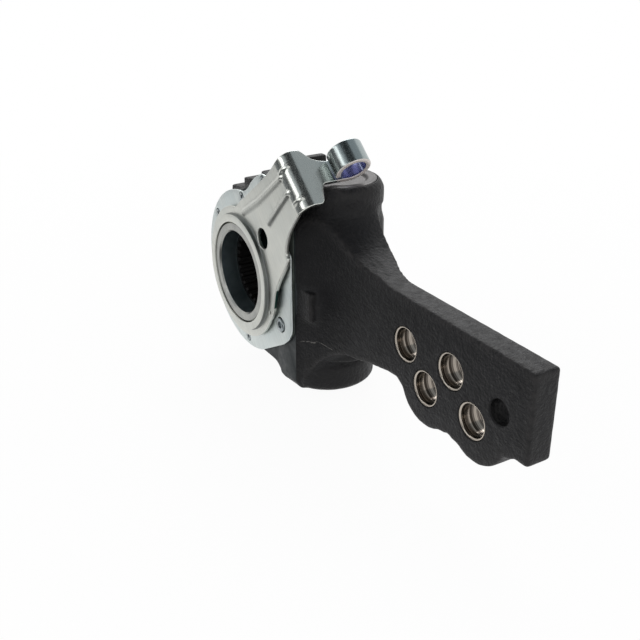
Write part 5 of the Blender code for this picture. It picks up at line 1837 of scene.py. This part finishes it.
@dataclass
class Studio:
    """Plain pale floor, soft lamps and the camera at the photograph's view."""

    floor_level: float = -53.6 * MM
    floor_half: float = 6.0
    azimuth: float = 58.91
    elevation: float = 25.59
    roll: float = -0.11
    distance: float = 454.7 * MM
    target: tuple = (54.9 * MM, -15.5 * MM, -9.7 * MM)
    focal_pixels: float = 921.2
    photo_pixels: float = 640.0
    film: float = 36.0
    aim: tuple = (0.06, -0.01, 0.0)
    card_tint: tuple = (1.0, 1.08, 1.14)
    lights: tuple = (Lamp("key_lamp", (-0.9, 0.65, 1.15), 0.9, 0.7, 11.0),
                     Lamp("front_strip", (-0.25, -1.3, 0.76), 1.5, 0.42, 4.0),
                     Lamp("right_lamp", (1.3, 0.1, 0.35), 0.6, 0.5, 1.2))
    hung: tuple = (Card("ceiling_card", (-0.7, -1.1, 1.5), (1.6, 0.15, 1.5), 0.05),
                   Card("rear_card", (-0.7, 0.15, 1.5), (1.6, 1.7, 1.5), 0.42),
                   # painted shadow: a dark card under the object stands in for its shadow on the floor in
                   # reflections
                   Card("reflected_shadow_card", (-0.035, -0.22, -0.053), (0.12, -0.078, -0.053), 0.04),
                   Card("floor_card", (-1.9, -1.6, -0.052), (-0.15, -0.24, -0.052), 0.20),
                   Card("upper_card", (-1.9, -1.62, 0.85), (0.9, -1.62, 2.4), 0.42),
                   Card("front_card", (-1.9, -1.6, -0.05), (0.9, -1.6, 0.85), 0.10))

    def camera(self) -> None:
        """Place the camera on a sphere about the target, looking at it."""
        a, e, roll = (math.radians(value) for value in (self.azimuth, self.elevation, self.roll))
        back = Vector((math.sin(a) * math.cos(e), -math.cos(a) * math.cos(e), math.sin(e)))
        right = Vector((math.cos(a), math.sin(a), 0.0))
        up = back.cross(right)
        level = math.cos(roll) * right + math.sin(roll) * up
        upright = -math.sin(roll) * right + math.cos(roll) * up
        data = bpy.data.cameras.new("photo_camera")
        data.sensor_width = self.film
        data.lens = self.focal_pixels / self.photo_pixels * self.film
        data.clip_start = 0.01
        data.clip_end = 50.0
        camera = put_in_scene("photo_camera", data)
        turn = Matrix((level, upright, back)).transposed().to_4x4()
        camera.matrix_world = Matrix.Translation(Vector(self.target) + self.distance * back) @ turn
        bpy.context.scene.camera = camera

    def floor(self) -> None:
        """Lay a wide pale floor just under the boss, which glows white to the camera further out."""
        half = self.floor_half
        points = np.array([[-half, -half, self.floor_level], [half, -half, self.floor_level],
                           [half, half, self.floor_level], [-half, half, self.floor_level]])
        mesh = bpy.data.meshes.new("studio_floor")
        mesh.from_pydata(points.tolist(), [], [(0, 1, 2, 3)])
        floor = put_in_scene("studio_floor", mesh)
        material = bpy.data.materials.new("studio_floor")
        material.use_nodes = True
        r = Recipe(material.node_tree)
        sheet = r.add("ShaderNodeBsdfDiffuse", {"Color": (0.86, 0.86, 0.86, 1.0)})
        glow = r.add("ShaderNodeEmission", {"Color": (1.0, 1.0, 1.0, 1.0), "Strength": 1.0})
        seen = self._background_rays(r)
        away = r.add("ShaderNodeVectorMath", {0: r.place()}, operation="LENGTH").outputs["Value"]
        share = r.maths("MULTIPLY", seen, r.span(away, 0.10, 0.5, 0.95, 1.0))
        mix = r.add("ShaderNodeMixShader", {0: share, 1: sheet.outputs[0], 2: glow.outputs[0]})
        r.add("ShaderNodeOutputMaterial", {0: mix.outputs[0]})
        mesh.materials.append(material)

    def _background_rays(self, r: Recipe) -> bpy.types.NodeSocket:
        """Pick the rays that see the background.

        Args:
            r: A recipe.

        Returns:
            1 for camera, glossy and transmission rays, else 0.
        """
        path = r.add("ShaderNodeLightPath")
        first = r.maths("MAXIMUM", path.outputs["Is Camera Ray"], path.outputs["Is Glossy Ray"])
        return r.maths("MAXIMUM", first, path.outputs["Is Transmission Ray"])

    def world(self) -> None:
        """White to the camera and in reflections, a plain grey as light."""
        world = bpy.data.worlds.new("studio_world")
        bpy.context.scene.world = world
        world.use_nodes = True
        r = Recipe(world.node_tree)
        seen = self._background_rays(r)
        strength = r.span(seen, 0.0, 1.0, 0.55, 1.0)
        back = r.add("ShaderNodeBackground", {"Color": (1.0, 1.0, 1.0, 1.0), "Strength": strength})
        r.add("ShaderNodeOutputWorld", {0: back.outputs[0]})

    def lamps(self) -> None:
        """Hang soft lamps: behind on the left for the upper faces, a strip in front, one on the right."""
        for light in self.lights:
            data = bpy.data.lights.new(light.name, "AREA")
            data.shape = "RECTANGLE"
            data.size = light.wide
            data.size_y = light.tall
            data.energy = light.power
            lamp = put_in_scene(light.name, data)
            spot = Vector(light.spot)
            turn = (Vector(self.aim) - spot).to_track_quat("-Z", "Y").to_matrix().to_4x4()
            lamp.matrix_world = Matrix.Translation(spot) @ turn

    def cards(self) -> None:
        """Hang cards that only reflections see, as a photographer does to shape bright metal."""
        for hung in self.hung:
            mesh = bpy.data.meshes.new(hung.name)
            mesh.from_pydata(hung.corners(), [], [(0, 1, 2, 3)])
            material = bpy.data.materials.new(hung.name)
            material.use_nodes = True
            r = Recipe(material.node_tree)
            colour = tuple(hung.tone * share for share in self.card_tint) + (1.0,)
            glow = r.add("ShaderNodeEmission", {"Color": colour, "Strength": 1.0})
            r.add("ShaderNodeOutputMaterial", {0: glow.outputs[0]})
            mesh.materials.append(material)
            card = put_in_scene(hung.name, mesh)
            card.visible_camera = False
            card.visible_diffuse = False
            card.visible_shadow = False
            card.visible_transmission = False

    def build(self) -> None:
        """Set up everything round the object."""
        self.camera()
        self.floor()
        self.world()
        self.lamps()
        self.cards()
        bpy.context.scene.view_settings.view_transform = "Standard"


class KeptNodes:
    """CAD nodes whose shape is right and that only get a finish."""

    def __init__(self, finishes: Finishes) -> None:
        """Choose a finish for each node."""
        self.choice = {"cover_gasket": finishes.fibre, "rear_hub_seal": finishes.rubber,
                       "front_hub_seal": finishes.rubber, "control_disc": finishes.disc,
                       "rack": finishes.dark, "clutch_pinion": finishes.worm,
                       "clutch_spring": finishes.dark, "worm_screw": finishes.worm,
                       "worm_thrust_washer": finishes.bronze,
                       "worm_spring": finishes.worm, "worm_lower_bush": finishes.bronze,
                       "worm_shaft_seal": finishes.rubber}

    def build(self, frame: dict) -> None:
        """Put each finish in its node's slots.

        Args:
            frame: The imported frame.
        """
        for name, finish in self.choice.items():
            node = frame["nodes"][name]
            for slot in node.material_slots:
                slot.material = finish
            LOG.info("%s keeps its shape and gets %s", name, finish.name)


def main() -> None:
    """Build the scene around the frame."""
    logging.basicConfig(level=logging.INFO, format="%(name)s: %(message)s")
    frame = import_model()
    Studio().build()
    finishes = Finishes()
    KeptNodes(finishes).build(frame)
    Casting().build(frame, finishes)
    LeverBushes().build(finishes)
    WheelAndHub().build(finishes)
    FrontCover().build(finishes)
    ControlArm().build(finishes)
    SpringCap().build(finishes)


if __name__ == "__main__":
    main()
